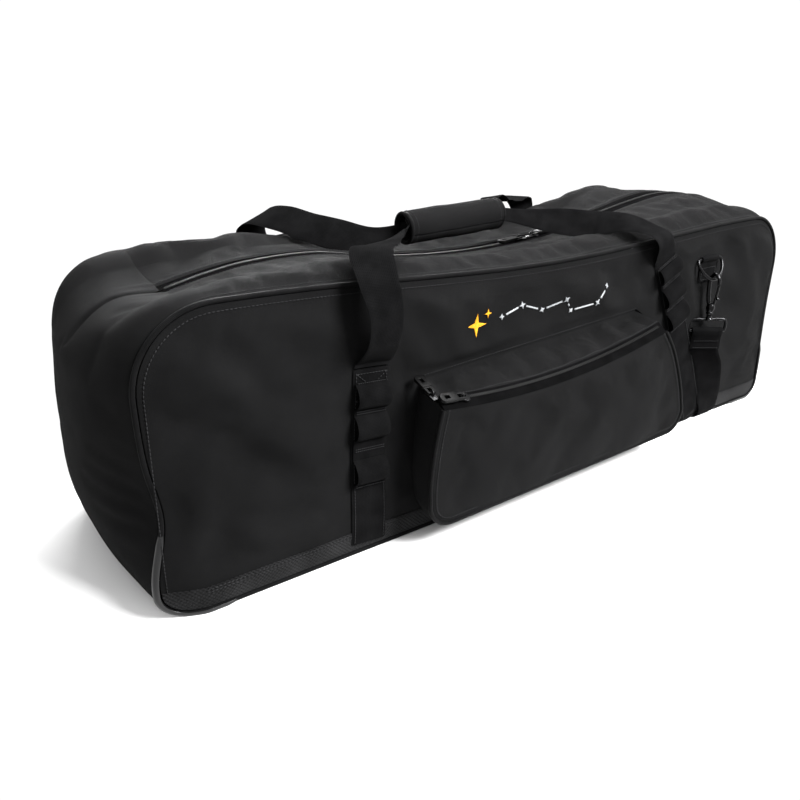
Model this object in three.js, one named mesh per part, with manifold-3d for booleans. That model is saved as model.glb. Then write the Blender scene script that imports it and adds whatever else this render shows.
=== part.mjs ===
// A long padded fabric case for a telescope tripod. It lies on its base: +X runs along its
// length, the front with the pocket faces -Y, and the origin is on the floor under its middle.
import * as THREE from 'three';
import { mergeVertices } from 'three/addons/utils/BufferGeometryUtils.js';
import Module from 'manifold-3d';

const wasm = await Module();
wasm.setup();

// ---------- driving dimensions, in millimetres ----------
const LENGTH = 880; // between the seams of the two ends
const DEPTH = 242; // between the front and rear panels
const HEIGHT = 264; // of the panels, at their ends
const TOP_CORNER = 68; // radius of a panel's upper corners
const FLOOR_CORNER = 22; // radius of a panel's lower corners
const TOP_SAG = 14; // drop of the panels' top edges at mid-length
// Height above the floor, and how far the left end swells past its seams there.
const END_BULGE = [[3, 0], [12, 9], [30, 14], [60, 19], [100, 23], [130, 24], [160, 23], [195, 17],
  [240, 12], [300, 12]];
const RIGHT_BULGE = 0.6; // the right end's swell, as a share of the left end's
const FABRIC = 1.6;
const PAD = 8; // foam behind the front and rear
const TOP_PAD = 4; // quilted top, fabric and foam together
const GAP = 0.4; // between pieces that are sewn or laid together
const PIPING = 2.6; // radius of the piping
const KICK_HEIGHT = 27; // of the coarse strip along the foot of a panel

const WEBBING = 38; // width of every strap
const WEBBING_THICK = 1.8;

const ZIP_HALF = 372; // half the length of the top opening
const ZIP_TAPE = 15; // width of one zip tape
const ZIP_LOW_X = -20; // where the sagging zip line is lowest
const ZIP_LOW_Z = 246;
const ZIP_RADIUS = 1021; // of the arc that the zip line hangs in
const SLIDER_X = { left: 66, right: 86 }; // the two closed sliders, beside the grip

const GRIP_X = [-106, 24];
const GRIP_Z = 282;
const GRIP_RADIUS = 17.5;
const GRIP_SKIN = 12.8; // radius where the flap overlaps the wrap
const GRIP_BORE = 9.5;
const GRIP_TILT = -0.04; // its right end is a little higher, in radians

const POCKET_FRONT = -170; // the pocket's outer face
const POCKET_CORNER = 26; // radius of its lower corners
const POCKET_ZIP_RADIUS = 865; // of the arc that the pocket's zip line hangs in
const POCKET_ZIP_LOW = [-70, 143]; // where that arc is lowest

const RING_X = 270; // middle of the D-ring's straight side
const RING_Y = -126.5;
const RING_Z = 224;
const RING_LEAN = 0.464; // the ring's lean away from the panel, in radians
const RING_REACH = 27;
const STRAP_TURN = -0.618; // the shoulder strap's turn about the vertical, in radians
const STRAP_CROSSING = 318; // where the strap goes under the case's edge
const STRAP_LIFT = 2.8; // how far the edge rises over the strap
const FLOOR_STRAP = 0.9; // height of the strap's middle where it lies on the floor

const vec = (x, y, z) => new THREE.Vector3(x, y, z);
const smooth = (t) => THREE.MathUtils.smoothstep(t, 0, 1);

// ---------- materials ----------
const finish = (color, roughness, metalness = 0) =>
  new THREE.MeshStandardMaterial({ color, roughness, metalness });
const canvas = finish(0x1b1b1d, 0.85);
const coarse = finish(0x202022, 0.8);
const webbing = finish(0x171719, 0.75);
const cording = finish(0x151517, 0.5);
const vinyl = finish(0x2a2a2c, 0.3);
const zipTape = finish(0x1d1d1f, 0.7);
const blackMetal = finish(0x101012, 0.25, 0.9);
const moulded = finish(0x0c0c0d, 0.25);
const foam = finish(0x3a3a3c, 0.95);
const board = finish(0x2d2d2f, 0.8);

// ---------- closed shapes ----------
// A closed geometry with its faces pointing out.
function closed(geometry) {
  const position = geometry.attributes.position;
  const index = geometry.index;
  const corner = [vec(0, 0, 0), vec(0, 0, 0), vec(0, 0, 0)];
  let volume = 0;
  for (let i = 0; i < index.count; i += 3) {
    corner.forEach((c, k) => c.fromBufferAttribute(position, index.getX(i + k)));
    volume += corner[0].dot(corner[1].cross(corner[2]));
  }
  if (volume < 0) {
    for (let i = 0; i < index.count; i += 3) {
      const first = index.getX(i);
      index.setX(i, index.getX(i + 1));
      index.setX(i + 1, first);
    }
  }
  geometry.computeVertexNormals();
  return geometry;
}

// A box of nu by nv by nt cells, each point of it moved to place(u, v, t), with u, v and t 0 to 1.
function slab(nu, nv, nt, place) {
  const geometry = new THREE.BoxGeometry(1, 1, 1, nu, nv, nt);
  const position = geometry.attributes.position;
  for (let i = 0; i < position.count; i += 1) {
    const at = vec(position.getX(i), position.getY(i), position.getZ(i)).addScalar(0.5);
    const moved = place(at.x, at.y, at.z);
    position.setXYZ(i, moved.x, moved.y, moved.z);
  }
  return closed(geometry);
}

// A smooth line through points, and the same for the directions that a strap's width follows.
const lineThrough = (points) =>
  new THREE.CatmullRomCurve3(points.map((p) => vec(...p)), false, 'centripetal');

// A flat strap along points. Each point has the direction of the strap's width there.
function strap(points, sides, steps, width = WEBBING, thickness = WEBBING_THICK) {
  const line = lineThrough(points);
  const across = lineThrough(sides);
  return slab(steps, 1, 1, (u, v, t) => {
    const side = across.getPoint(u).normalize();
    const normal = line.getTangent(u).cross(side).normalize();
    return line.getPoint(u).addScaledVector(side, (v - 0.5) * width)
      .addScaledVector(normal, (t - 0.5) * thickness);
  });
}

// A round bar along an open line that lies near one plane. facing is that plane's normal.
function bar(line, radius, facing, sides, steps) {
  const geometry = new THREE.CylinderGeometry(radius, radius, 1, sides, steps);
  const position = geometry.attributes.position;
  for (let i = 0; i < position.count; i += 1) {
    const u = position.getY(i) + 0.5;
    const side = line.getTangent(u).cross(facing).normalize();
    const at = line.getPoint(u).addScaledVector(side, position.getX(i))
      .addScaledVector(facing, position.getZ(i));
    position.setXYZ(i, at.x, at.y, at.z);
  }
  return closed(geometry);
}

// A round bar along a closed list of points that lie in one plane.
function hoop(points, radius, facing, sides) {
  const count = points.length;
  const geometry = new THREE.TorusGeometry(2, 1, sides, count);
  const position = geometry.attributes.position;
  for (let i = 0; i < position.count; i += 1) {
    const x = position.getX(i);
    const y = position.getY(i);
    const turn = Math.atan2(y, x) / (2 * Math.PI);
    const at = Math.round(turn * count + count) % count;
    const before = points[(at + count - 1) % count];
    const after = points[(at + 1) % count];
    const side = after.clone().sub(before).cross(facing).normalize();
    const moved = points[at].clone().addScaledVector(side, radius * (Math.hypot(x, y) - 2))
      .addScaledVector(facing, radius * position.getZ(i));
    position.setXYZ(i, moved.x, moved.y, moved.z);
  }
  return closed(geometry);
}

// An outline in X and Y, drawn deep along Z.
function plate(outline, deep, segments = 4) {
  const geometry = new THREE.ExtrudeGeometry(outline, {
    depth: deep, bevelEnabled: false, curveSegments: segments,
  });
  return geometry;
}

function solidOf(geometry) {
  const bare = geometry.clone();
  bare.deleteAttribute('normal');
  bare.deleteAttribute('uv');
  const merged = mergeVertices(bare, 1e-3);
  return new wasm.Manifold(new wasm.Mesh({
    numProp: 3,
    vertProperties: new Float32Array(merged.attributes.position.array),
    triVerts: new Uint32Array(merged.index.array),
  }));
}

function geometryOf(solid) {
  const made = solid.getMesh();
  const geometry = new THREE.BufferGeometry();
  geometry.setAttribute('position', new THREE.BufferAttribute(made.vertProperties, 3));
  geometry.setIndex(new THREE.BufferAttribute(made.triVerts, 1));
  geometry.computeVertexNormals();
  return geometry;
}

const joined = (...parts) => geometryOf(parts.map(solidOf).reduce((all, next) => all.add(next)));
const cut = (from, ...tools) =>
  geometryOf(tools.map(solidOf).reduce((left, tool) => left.subtract(tool), solidOf(from)));

// ---------- the assembly ----------
const model = new THREE.Group();
model.name = 'telescope_carry_case';

function add(name, geometry, material, to = model) {
  const mesh = new THREE.Mesh(geometry, material);
  mesh.name = name;
  to.add(mesh);
  return mesh;
}

// A group turned half round the vertical, for the rear copies of the front's pieces.
const rear = new THREE.Group();
rear.rotation.z = Math.PI;
model.add(rear);

// ---------- the case's own surfaces ----------
// Height of the piping along a top edge.
function edgeHeight(x) {
  const half = LENGTH / 2 - TOP_CORNER;
  if (Math.abs(x) >= half) return HEIGHT;
  return HEIGHT - TOP_SAG * (0.5 + 0.5 * Math.cos(Math.PI * x / half));
}

const zipArc = (x) => ZIP_LOW_Z + (x - ZIP_LOW_X) ** 2 / (2 * ZIP_RADIUS);

// Height of the zip line: an arc between the straps, lower at the left end and full at the right.
const zipLine = new THREE.SplineCurve([
  [-410, 240], [-379, 247], [-336, 257], [-290, 264], [-217, zipArc(-217)], [-150, zipArc(-150)],
  [-80, zipArc(-80)], [0, zipArc(0)], [80, zipArc(80)], [140, zipArc(140)], [195, zipArc(195)],
  [260, 280], [320, 287], [379, 284], [410, 280],
].map((p) => new THREE.Vector2(...p)));

function zipHeight(x) {
  let low = 0;
  let high = 1;
  for (let i = 0; i < 24; i += 1) {
    const middle = (low + high) / 2;
    if (zipLine.getPoint(middle).x < x) low = middle;
    else high = middle;
  }
  return zipLine.getPoint(low).y;
}

// Height of the top surface at a distance from the middle: it leaves the piping and meets the zip.
const topHeight = (x, y) => {
  const inward = 1 - Math.abs(y) / (DEPTH / 2);
  const roll = 7 * Math.sin(Math.PI * Math.min(1, inward * 2.2));
  return THREE.MathUtils.lerp(edgeHeight(x), zipHeight(x), smooth(inward)) + roll;
};

// Points of an arc in X and Z.
function arcPoints(x, z, radius, from, to, steps) {
  return Array.from({ length: steps + 1 }, (_, i) => {
    const turn = from + (to - from) * i / steps;
    return [x + radius * Math.cos(turn), z + radius * Math.sin(turn)];
  });
}

// The value at x of a line through [x, value] points.
function between(points, x) {
  const at = Math.max(1, points.findIndex((point) => x <= point[0]));
  const [from, to] = [points[at - 1], points[at]];
  return THREE.MathUtils.mapLinear(THREE.MathUtils.clamp(x, from[0], to[0]), from[0], to[0], from[1], to[1]);
}

// The foot of a panel's outline, with its rise over the shoulder strap.
function footPoints(foot) {
  return [[-33, 0], [-23, STRAP_LIFT], [23, STRAP_LIFT], [33, 0]]
    .map(([x, rise]) => [STRAP_CROSSING + x, foot + rise]);
}

// The outline of a panel, inset from the piping's line, as points in X and Z.
function outlineOf(inset) {
  const right = LENGTH / 2 - inset;
  const foot = PIPING + inset;
  const low = FLOOR_CORNER - inset;
  const high = TOP_CORNER - inset;
  const top = HEIGHT - inset - high;
  const edge = Array.from({ length: 11 }, (_, i) => (right - high) * (1 - (i + 1) / 6))
    .map((x) => [x, edgeHeight(x) - inset]);
  return [
    ...footPoints(foot),
    ...arcPoints(right - low, foot + low, low, -Math.PI / 2, 0, 6),
    ...arcPoints(right - high, top, high, 0, Math.PI / 2, 6),
    ...edge,
    ...arcPoints(-right + high, top, high, Math.PI / 2, Math.PI, 6),
    ...arcPoints(-right + low, foot + low, low, Math.PI, 1.5 * Math.PI, 6),
  ];
}

// The strip along the foot of a panel, up to KICK_HEIGHT.
function kickOutline(inset) {
  const right = LENGTH / 2 - inset;
  const foot = PIPING + inset;
  const low = FLOOR_CORNER - inset;
  const reach = Math.acos((foot + low - KICK_HEIGHT) / low);
  return [
    ...footPoints(foot),
    ...arcPoints(right - low, foot + low, low, -Math.PI / 2, reach - Math.PI / 2, 5),
    ...arcPoints(-right + low, foot + low, low, 1.5 * Math.PI - reach, 1.5 * Math.PI, 5),
  ];
}

// A flat piece in the panel's plane, from points in X and Z, between two depths.
function panel(points, from, to) {
  const outline = new THREE.Shape(points.map((p) => new THREE.Vector2(...p)));
  const geometry = plate(outline, to - from);
  geometry.rotateX(Math.PI / 2);
  geometry.translate(0, to, 0);
  return geometry;
}

const OUTER = -DEPTH / 2; // the front panel's outer face
const INNER = OUTER + FABRIC;
const SEAM = PIPING + GAP; // pieces stop this far from the piping's line
const KICK = 0.8; // thickness of the coarse strip
const STRAP_Y = OUTER - KICK - 2 * GAP - WEBBING_THICK / 2; // middle of a sewn strap

// Front and rear: panel, foam, piping and coarse strip.
function addPanelSet(label, to) {
  add(`${label}_panel`, panel(outlineOf(SEAM), OUTER, INNER), canvas, to);
  const pad = outlineOf(14).map(([x, z]) => [x, THREE.MathUtils.clamp(z, 22, HEIGHT - 34)]);
  add(`${label}_pad`, panel(pad, INNER + GAP, INNER + GAP + PAD), foam, to);
  const loop = outlineOf(0).map(([x, z]) => vec(x, OUTER, z));
  add(`${label}_piping`, hoop(loop, PIPING, vec(0, 1, 0), 6), cording, to);
  const strip = panel(kickOutline(SEAM + 1), OUTER - GAP - KICK, OUTER - GAP);
  add(`${label}_kick_band`, strip, coarse, to);
}

// Half sleeves of moulded vinyl over the front piping's lower corners.
function addGuard(name, side) {
  const above = 55;
  const past = 38;
  const bend = FLOOR_CORNER * Math.PI / 2;
  const stages = [[0, 0], [4, above], [10, above + bend], [14, above + bend + past]];
  const geometry = slab(14, 4, 1, (u, v, t) => {
    const along = between(stages, u * 14);
    const turn = THREE.MathUtils.clamp((along - above) / FLOOR_CORNER, 0, Math.PI / 2);
    const before = Math.max(0, above - along);
    const after = Math.max(0, along - above - bend);
    const outward = vec(side * Math.cos(turn), 0, -Math.sin(turn));
    const at = vec(side * (LENGTH / 2 - FLOOR_CORNER - after), OUTER, PIPING + FLOOR_CORNER + before)
      .addScaledVector(outward, FLOOR_CORNER);
    const furthest = THREE.MathUtils.lerp(1.9, 0.62, Math.sin(turn));
    const round = THREE.MathUtils.lerp(-0.35, furthest, v);
    const radius = PIPING + GAP + 1.1 * t;
    return at.addScaledVector(outward, radius * Math.sin(round))
      .add(vec(0, -radius * Math.cos(round), 0));
  });
  add(name, geometry, vinyl);
}

// The band round an end: over the upper corner, down the end and under the lower corner.
function addEnd(name, side) {
  const upper = TOP_CORNER * Math.PI / 2;
  const upright = HEIGHT - TOP_CORNER - FLOOR_CORNER - PIPING;
  const lower = FLOOR_CORNER * Math.PI / 2;
  const start = side * (LENGTH / 2 - TOP_CORNER);
  const geometry = slab(14, 6, 1, (u, v, t) => {
    const y = THREE.MathUtils.lerp(OUTER + SEAM, -OUTER - SEAM, v);
    const along = u * (upper + upright + lower);
    const first = Math.min(along / TOP_CORNER, Math.PI / 2);
    const second = THREE.MathUtils.clamp((along - upper - upright) / FLOOR_CORNER, 0, Math.PI / 2);
    const down = THREE.MathUtils.clamp(along - upper, 0, upright);
    const turn = Math.PI / 2 - first - second;
    const outward = vec(side * Math.cos(turn), 0, Math.sin(turn));
    const corner = second > 0 ? FLOOR_CORNER : TOP_CORNER;
    const at = vec(side * (LENGTH / 2 - corner), y, HEIGHT - TOP_CORNER - down)
      .addScaledVector(outward, corner);
    const crown = 1 - (y / OUTER) ** 2;
    const share = crown * smooth(u / 0.32) * (side < 0 ? 1 : RIGHT_BULGE);
    const lift = THREE.MathUtils.lerp(topHeight(start, y) - HEIGHT, 0, smooth(u / 0.4));
    at.x += side * share * between(END_BULGE, at.z);
    return at.addScaledVector(outward, lift + (t - 0.5) * FABRIC);
  });
  add(name, geometry, canvas);
}

// Half of the quilted top, from the piping to the zip, and the zip tape along its edge.
function addTopHalf(label, side) {
  const reach = ZIP_HALF - GAP;
  const surface = (u, y, drop) => {
    const x = (2 * u - 1) * reach;
    return vec(x, side * y, topHeight(x, y) - drop);
  };
  const wide = -OUTER - SEAM;
  const flap = slab(20, 4, 1, (u, v, t) =>
    surface(u, THREE.MathUtils.lerp(wide, ZIP_TAPE + GAP, v), (1 - t) * TOP_PAD));
  add(`${label}_top_flap`, flap, canvas);
  const tape = slab(20, 1, 1, (u, v, t) =>
    surface(u, THREE.MathUtils.lerp(ZIP_TAPE, GAP, v), 1 + (1 - t) * 1.2));
  add(`${label}_zip_tape`, tape, zipTape);
}

// ---------- zip sliders and their pulls ----------
const PULL_PIVOT = 3.9; // height of a pull's pivot above its slider's foot

function sliderGeometry() {
  const outline = new THREE.Shape();
  outline.moveTo(-8.5, -3.4);
  outline.lineTo(1, -4);
  outline.bezierCurveTo(4, -6, 7, -5.8, 8, -4);
  outline.lineTo(8.5, 0);
  outline.lineTo(8, 4);
  outline.bezierCurveTo(7, 5.8, 4, 6, 1, 4);
  outline.lineTo(-8.5, 3.4);
  const crown = lineThrough([
    [-3.4, 0, 1.2], [-3.3, 0, 3.8], [-1.9, 0, 5.8], [0, 0, 6.4], [1.9, 0, 5.8], [3.3, 0, 3.8],
    [3.4, 0, 1.2],
  ]);
  return joined(plate(outline, 2.2), bar(crown, 0.9, vec(0, 1, 0), 6, 10));
}

function tagOutline(from, to, half, round) {
  const outline = new THREE.Shape();
  outline.moveTo(from, -half);
  outline.lineTo(to - round, -half);
  outline.absarc(to - round, -half + round, round, -Math.PI / 2, 0);
  outline.absarc(to - round, half - round, round, 0, Math.PI / 2);
  outline.lineTo(from, half);
  return outline;
}

function rectangle(x0, y0, x1, y1) {
  const hole = new THREE.Path();
  hole.moveTo(x0, y0);
  hole.lineTo(x0, y1);
  hole.lineTo(x1, y1);
  hole.lineTo(x1, y0);
  return hole;
}

// A pull lying flat along +X, with its pivot at the origin's height above the slider.
function pullGeometry(length) {
  const half = 5.2;
  const link = tagOutline(-0.8, 12, half - 0.6, 2);
  link.holes.push(rectangle(0.8, -2, 6.2, 2));
  const grip = tagOutline(8, length, half, 4.6);
  grip.holes.push(rectangle(length - 11, -1.9, length - 5, 1.9));
  const thin = plate(link, 1.7);
  thin.translate(0, 0, -0.85);
  const thick = plate(grip, 3.2, 3);
  thick.translate(0, 0, -1.5);
  const made = joined(thin, thick);
  made.translate(0, 0, PULL_PIVOT);
  return made;
}

// A slider and its pull. place is the frame on the zip; the pull lies along +X of it, or -X.
function addSlider(name, place, back, pullLength) {
  add(name.replace('#', 'slider'), sliderGeometry(), blackMetal, place);
  const pull = add(name.replace('#', 'pull'), pullGeometry(pullLength), moulded, place);
  if (back) pull.rotation.z = Math.PI;
}

function addMainSliders() {
  Object.entries(SLIDER_X).forEach(([label, x]) => {
    const place = new THREE.Group();
    place.position.set(x, 0, zipArc(x) - GAP);
    place.rotation.y = -(x - ZIP_LOW_X) / ZIP_RADIUS;
    model.add(place);
    addSlider(`main_#_${label}`, place, label === 'left', 33);
  });
}

// ---------- straps on the panels ----------
// foot and top are the strap's middle, in X, at the foot and at height 250 of the panel.
const STRAPS = {
  front_left: { side: -1, foot: -246, top: -228, sewn: 184, loops: [159, 129, 86] },
  front_right: { side: -1, foot: 291, top: 172, sewn: 232, loops: [222, 192, 161] },
  rear_left: { side: 1, foot: -246, top: -208, sewn: 232, loops: [] },
  rear_right: { side: 1, foot: 250, top: 196, sewn: 232, loops: [] },
};
const strapX = ({ foot, top }, z) => foot + (top - foot) * z / 250;
const strapSide = ({ foot, top }) => vec(250, 0, foot - top).normalize().toArray();

function addPanelStrap(label) {
  const fit = STRAPS[label];
  const side = strapSide(fit);
  const [from, to] = [13, fit.sewn];
  const y = -fit.side * STRAP_Y;
  const points = [[strapX(fit, from), y, from], [strapX(fit, to), y, to]];
  const [end, name] = label.split('_');
  add(`${end}_strap_${name}`, strap(points, [side, side], 1), webbing);
}

// One strip of webbing tacked down between three loops, on a front strap.
function addLashLadder(label) {
  const fit = STRAPS[label];
  const side = vec(...strapSide(fit));
  const from = Math.min(...fit.loops) - 15;
  const to = Math.min(Math.max(...fit.loops) + 13, fit.sewn - 1);
  const rise = 11.5;
  const geometry = slab(32, 1, 1, (u, v, t) => {
    const z = THREE.MathUtils.lerp(from, to, u);
    const nearest = Math.min(...fit.loops.map((loop) => Math.abs(z - loop)));
    const swell = nearest < rise ? Math.cos(nearest / rise * Math.PI / 2) ** 0.6 : 0;
    const y = STRAP_Y - WEBBING_THICK - GAP - 9 * swell - (t - 0.5) * WEBBING_THICK;
    return vec(strapX(fit, z), y, z).addScaledVector(side, (v - 0.5) * (WEBBING - 3));
  });
  add(`${label.split('_')[1]}_lash_ladder`, geometry, webbing);
}

// ---------- the carrying handle ----------
// Each arm runs from the top of a sewn strap to an end of the grip.
const ARMS = {
  front_left: {
    points: [
      [-232.5, -124.4, 186], [-230, -133, 194], [-228, -143, 212], [-229, -147, 236],
      [-235, -145, 264], [-232, -128, 286], [-196, -88, 285], [-150, -40, 281], [-108, -8, 280],
    ],
    sides: [
      [0.98, 0, -0.07], [0.98, 0.04, -0.07], [0.97, 0.12, -0.07], [0.97, 0.1, -0.07],
      [0.97, -0.1, -0.05], [0.88, -0.45, 0], [0.74, -0.6, 0.1], [0.6, -0.65, 0.45],
      [0.1, -0.5, 0.85],
    ],
  },
  front_right: {
    points: [
      [180, -124.4, 234], [174, -130, 244], [164, -134, 259], [151, -125, 273],
      [134, -100, 279], [113, -64, 278], [72, -28, 281], [27, -8, 284],
    ],
    sides: [
      [0.9, 0, 0.43], [0.9, 0.1, 0.4], [0.87, 0.3, 0.3], [0.74, 0.56, 0.25],
      [0.56, 0.62, 0.4], [0.45, 0.5, 0.6], [0.34, 0.48, 0.72], [0.1, 0.5, 0.85],
    ],
  },
  rear_left: {
    points: [
      [-210.4, 124.4, 234], [-214, 129, 250], [-220, 131, 268], [-214, 122, 284],
      [-200, 96, 286], [-170, 60, 283], [-134, 26, 281], [-108, 8, 280],
    ],
    sides: [
      [0.98, 0, -0.16], [0.98, 0, -0.16], [0.95, 0.1, -0.25], [0.78, 0.25, -0.55],
      [0.5, 0.3, -0.8], [0.35, 0.3, -0.88], [0.25, 0.35, -0.88], [0.1, 0.5, -0.85],
    ],
  },
  rear_right: {
    points: [
      [200, 124.4, 234], [200, 130, 250], [194, 132, 268], [176, 120, 280],
      [140, 86, 276], [98, 50, 284], [60, 24, 296], [27, 8, 286],
    ],
    sides: [
      [0.97, 0, 0.2], [0.97, 0, 0.2], [0.95, -0.2, 0.1], [0.85, -0.5, 0],
      [0.7, -0.7, 0], [0.6, -0.75, 0.2], [0.45, -0.7, 0.5], [0.1, -0.5, 0.85],
    ],
  },
};

function addArm(label) {
  const { points, sides } = ARMS[label];
  const [end, name] = label.split('_');
  const widths = (u) => THREE.MathUtils.lerp(WEBBING, 15, smooth((u - 0.75) / 0.25));
  const line = lineThrough(points);
  const across = lineThrough(sides);
  const geometry = slab(22, 1, 1, (u, v, t) => {
    const side = across.getPoint(u).normalize();
    const normal = line.getTangent(u).cross(side).normalize();
    return line.getPoint(u).addScaledVector(side, (v - 0.5) * widths(u))
      .addScaledVector(normal, (t - 0.5) * WEBBING_THICK);
  });
  add(`${end}_handle_${name}`, geometry, webbing);
}

// The padded wrap round the handle's middle, split along its top under a flap that opens.
function addGrip() {
  const place = new THREE.Group();
  const length = GRIP_X[1] - GRIP_X[0];
  place.position.set((GRIP_X[0] + GRIP_X[1]) / 2, 0, GRIP_Z);
  place.rotation.y = GRIP_TILT;
  model.add(place);
  const shell = (from, to, steps, inner, outer, long) => slab(1, steps, 1, (u, v, t) => {
    const turn = THREE.MathUtils.degToRad(THREE.MathUtils.lerp(from, to, v));
    const radius = THREE.MathUtils.lerp(inner, outer(THREE.MathUtils.lerp(from, to, v)), t);
    return vec((u - 0.5) * long, radius * Math.sin(turn), radius * Math.cos(turn));
  });
  const thick = (turn) => (turn > 2 && turn < 244 ? GRIP_RADIUS : GRIP_SKIN - GAP);
  add('grip_wrap', shell(-16, 336, 32, GRIP_BORE, thick, length), canvas, place);
  add('grip_flap', shell(-111, -7, 8, GRIP_SKIN, () => GRIP_RADIUS, length - 3), canvas, place);
  const core = slab(1, 1, 1, (u, v, t) => vec((u - 0.5) * (length - 2), (v - 0.5) * 15, (t - 0.5) * 9));
  add('handle_core', core, webbing, place);
}

// ---------- the front pocket ----------
const POCKET_LEFT = -184; // its upper corners, in X
const POCKET_RIGHT = 138;
const POCKET_BACK = OUTER - 1.8; // where the pocket's edge meets the front panel
const zipEdge = (x) => POCKET_ZIP_LOW[1] + (x - POCKET_ZIP_LOW[0]) ** 2 / (2 * POCKET_ZIP_RADIUS);

// The pocket's left side, foot and right side, as points in X and Z.
function pocketSides(inset) {
  const round = POCKET_CORNER - inset;
  return [
    [POCKET_LEFT + inset, zipEdge(POCKET_LEFT) - 6], [-192 + inset, 110], [-197 + inset, 70],
    ...arcPoints(-197 + POCKET_CORNER, 24 + POCKET_CORNER, round, Math.PI, 1.5 * Math.PI, 5),
    ...arcPoints(191 - POCKET_CORNER, 30 + POCKET_CORNER, round, 1.5 * Math.PI, 2 * Math.PI, 5),
    [180 - inset, 90], [158 - inset, 136], [POCKET_RIGHT - inset, zipEdge(POCKET_RIGHT) - 6],
  ];
}

// A point of the pocket's edge carried back to the front panel, where it is smaller and taller.
const atPanel = (x, z) => [0.965 * x + 3, z + 0.16 * Math.max(0, z - 40)];
const POCKET_SEAM = { middle: 171.5, slope: 0.0535 }; // the straight seam along the pocket's top

function addPocket() {
  const top = Array.from({ length: 11 }, (_, i) => {
    const x = THREE.MathUtils.lerp(POCKET_RIGHT - 8, POCKET_LEFT + 8, i / 10);
    return [x, zipEdge(x) - 4];
  });
  const face = [...pocketSides(2.4), ...top];
  add('pocket_front', panel(face, POCKET_FRONT, POCKET_FRONT + FABRIC), canvas);

  const edge = pocketSides(0).map(([x, z]) => [x, POCKET_FRONT, z]);
  add('pocket_piping', bar(lineThrough(edge), 2, vec(0, 1, 0), 6, 38), cording);

  const line = lineThrough(edge);
  const gusset = slab(22, 2, 1, (u, v, t) => {
    const at = line.getPoint(u);
    const outward = line.getTangent(u).cross(vec(0, 1, 0)).normalize();
    const [x, z] = atPanel(at.x, at.z);
    const y = THREE.MathUtils.lerp(POCKET_BACK, POCKET_FRONT + 2.5, v);
    return vec(THREE.MathUtils.lerp(x, at.x, v), y, THREE.MathUtils.lerp(z, at.z, v))
      .addScaledVector(outward, (t - 0.5) * FABRIC);
  });
  add('pocket_gusset', gusset, canvas);

  const across = (u) => THREE.MathUtils.lerp(POCKET_LEFT + 3, POCKET_RIGHT - 3, u);
  const lid = slab(12, 3, 1, (u, v, t) => {
    const x = across(u);
    const backX = atPanel(x, 0)[0];
    const backZ = POCKET_SEAM.middle + POCKET_SEAM.slope * backX;
    const y = THREE.MathUtils.lerp(POCKET_BACK, POCKET_FRONT + 12, v);
    const z = THREE.MathUtils.lerp(backZ, zipEdge(x) + 4, v);
    return vec(THREE.MathUtils.lerp(backX, x, v), y, z - (1 - t) * FABRIC);
  });
  add('pocket_lid', lid, canvas);

  const tape = slab(12, 1, 1, (u, v, t) => {
    const x = across(u);
    const y = THREE.MathUtils.lerp(POCKET_FRONT + 11.6, POCKET_FRONT + 2, v);
    return vec(x, y, zipEdge(x) + THREE.MathUtils.lerp(3.7, -1.8, v) - (1 - t) * 1.2);
  });
  add('pocket_zip_tape', tape, zipTape);
}

function addPocketSliders() {
  const x = -158;
  const front = new THREE.Group();
  front.rotation.order = 'YXZ';
  front.position.set(x, POCKET_FRONT + 6.6, zipEdge(x) + 1.7);
  front.rotation.set(0.52, -(x - POCKET_ZIP_LOW[0]) / POCKET_ZIP_RADIUS, 0);
  model.add(front);
  addSlider('pocket_#_front', front, true, 27);

  const side = new THREE.Group();
  side.rotation.order = 'ZYX';
  side.position.set(POCKET_LEFT - 1.4, -153, 154.6);
  side.rotation.set(0, -0.34, Math.PI / 2);
  model.add(side);
  addSlider('pocket_#_side', side, false, 25);
}

// ---------- D-ring, snap hook and shoulder strap ----------
function ringPoints() {
  const down = vec(0, -Math.sin(RING_LEAN), -Math.cos(RING_LEAN));
  const flat = [
    [-20, 0], [0, 0], [20, 0], [23, 1.2], [24, 4.5], [22, 12], [16.5, 19.5], [9, 25],
    [0, RING_REACH], [-9, 25], [-16.5, 19.5], [-22, 12], [-24, 4.5], [-23, 1.2],
  ];
  return flat.map(([x, reach]) => vec(RING_X + x, RING_Y, RING_Z).addScaledVector(down, reach));
}

const BOW = vec(
  RING_X,
  RING_Y - RING_REACH * Math.sin(RING_LEAN),
  RING_Z - RING_REACH * Math.cos(RING_LEAN),
);
const EYE_BAR = BOW.z - 66; // height of the bar that the shoulder strap folds over

// A bar in the plane across the D-ring's bow, from points beside and above the bow.
function acrossBow(points, radius, steps) {
  const line = lineThrough(points.map(([y, z]) => [BOW.x, BOW.y + y, BOW.z + z]));
  return bar(line, radius, vec(1, 0, 0), 8, steps);
}

function post(radius, low, high) {
  const geometry = new THREE.CylinderGeometry(radius, radius, high - low, 12);
  geometry.rotateX(Math.PI / 2);
  geometry.translate(BOW.x, BOW.y, (low + high) / 2);
  return geometry;
}

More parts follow.
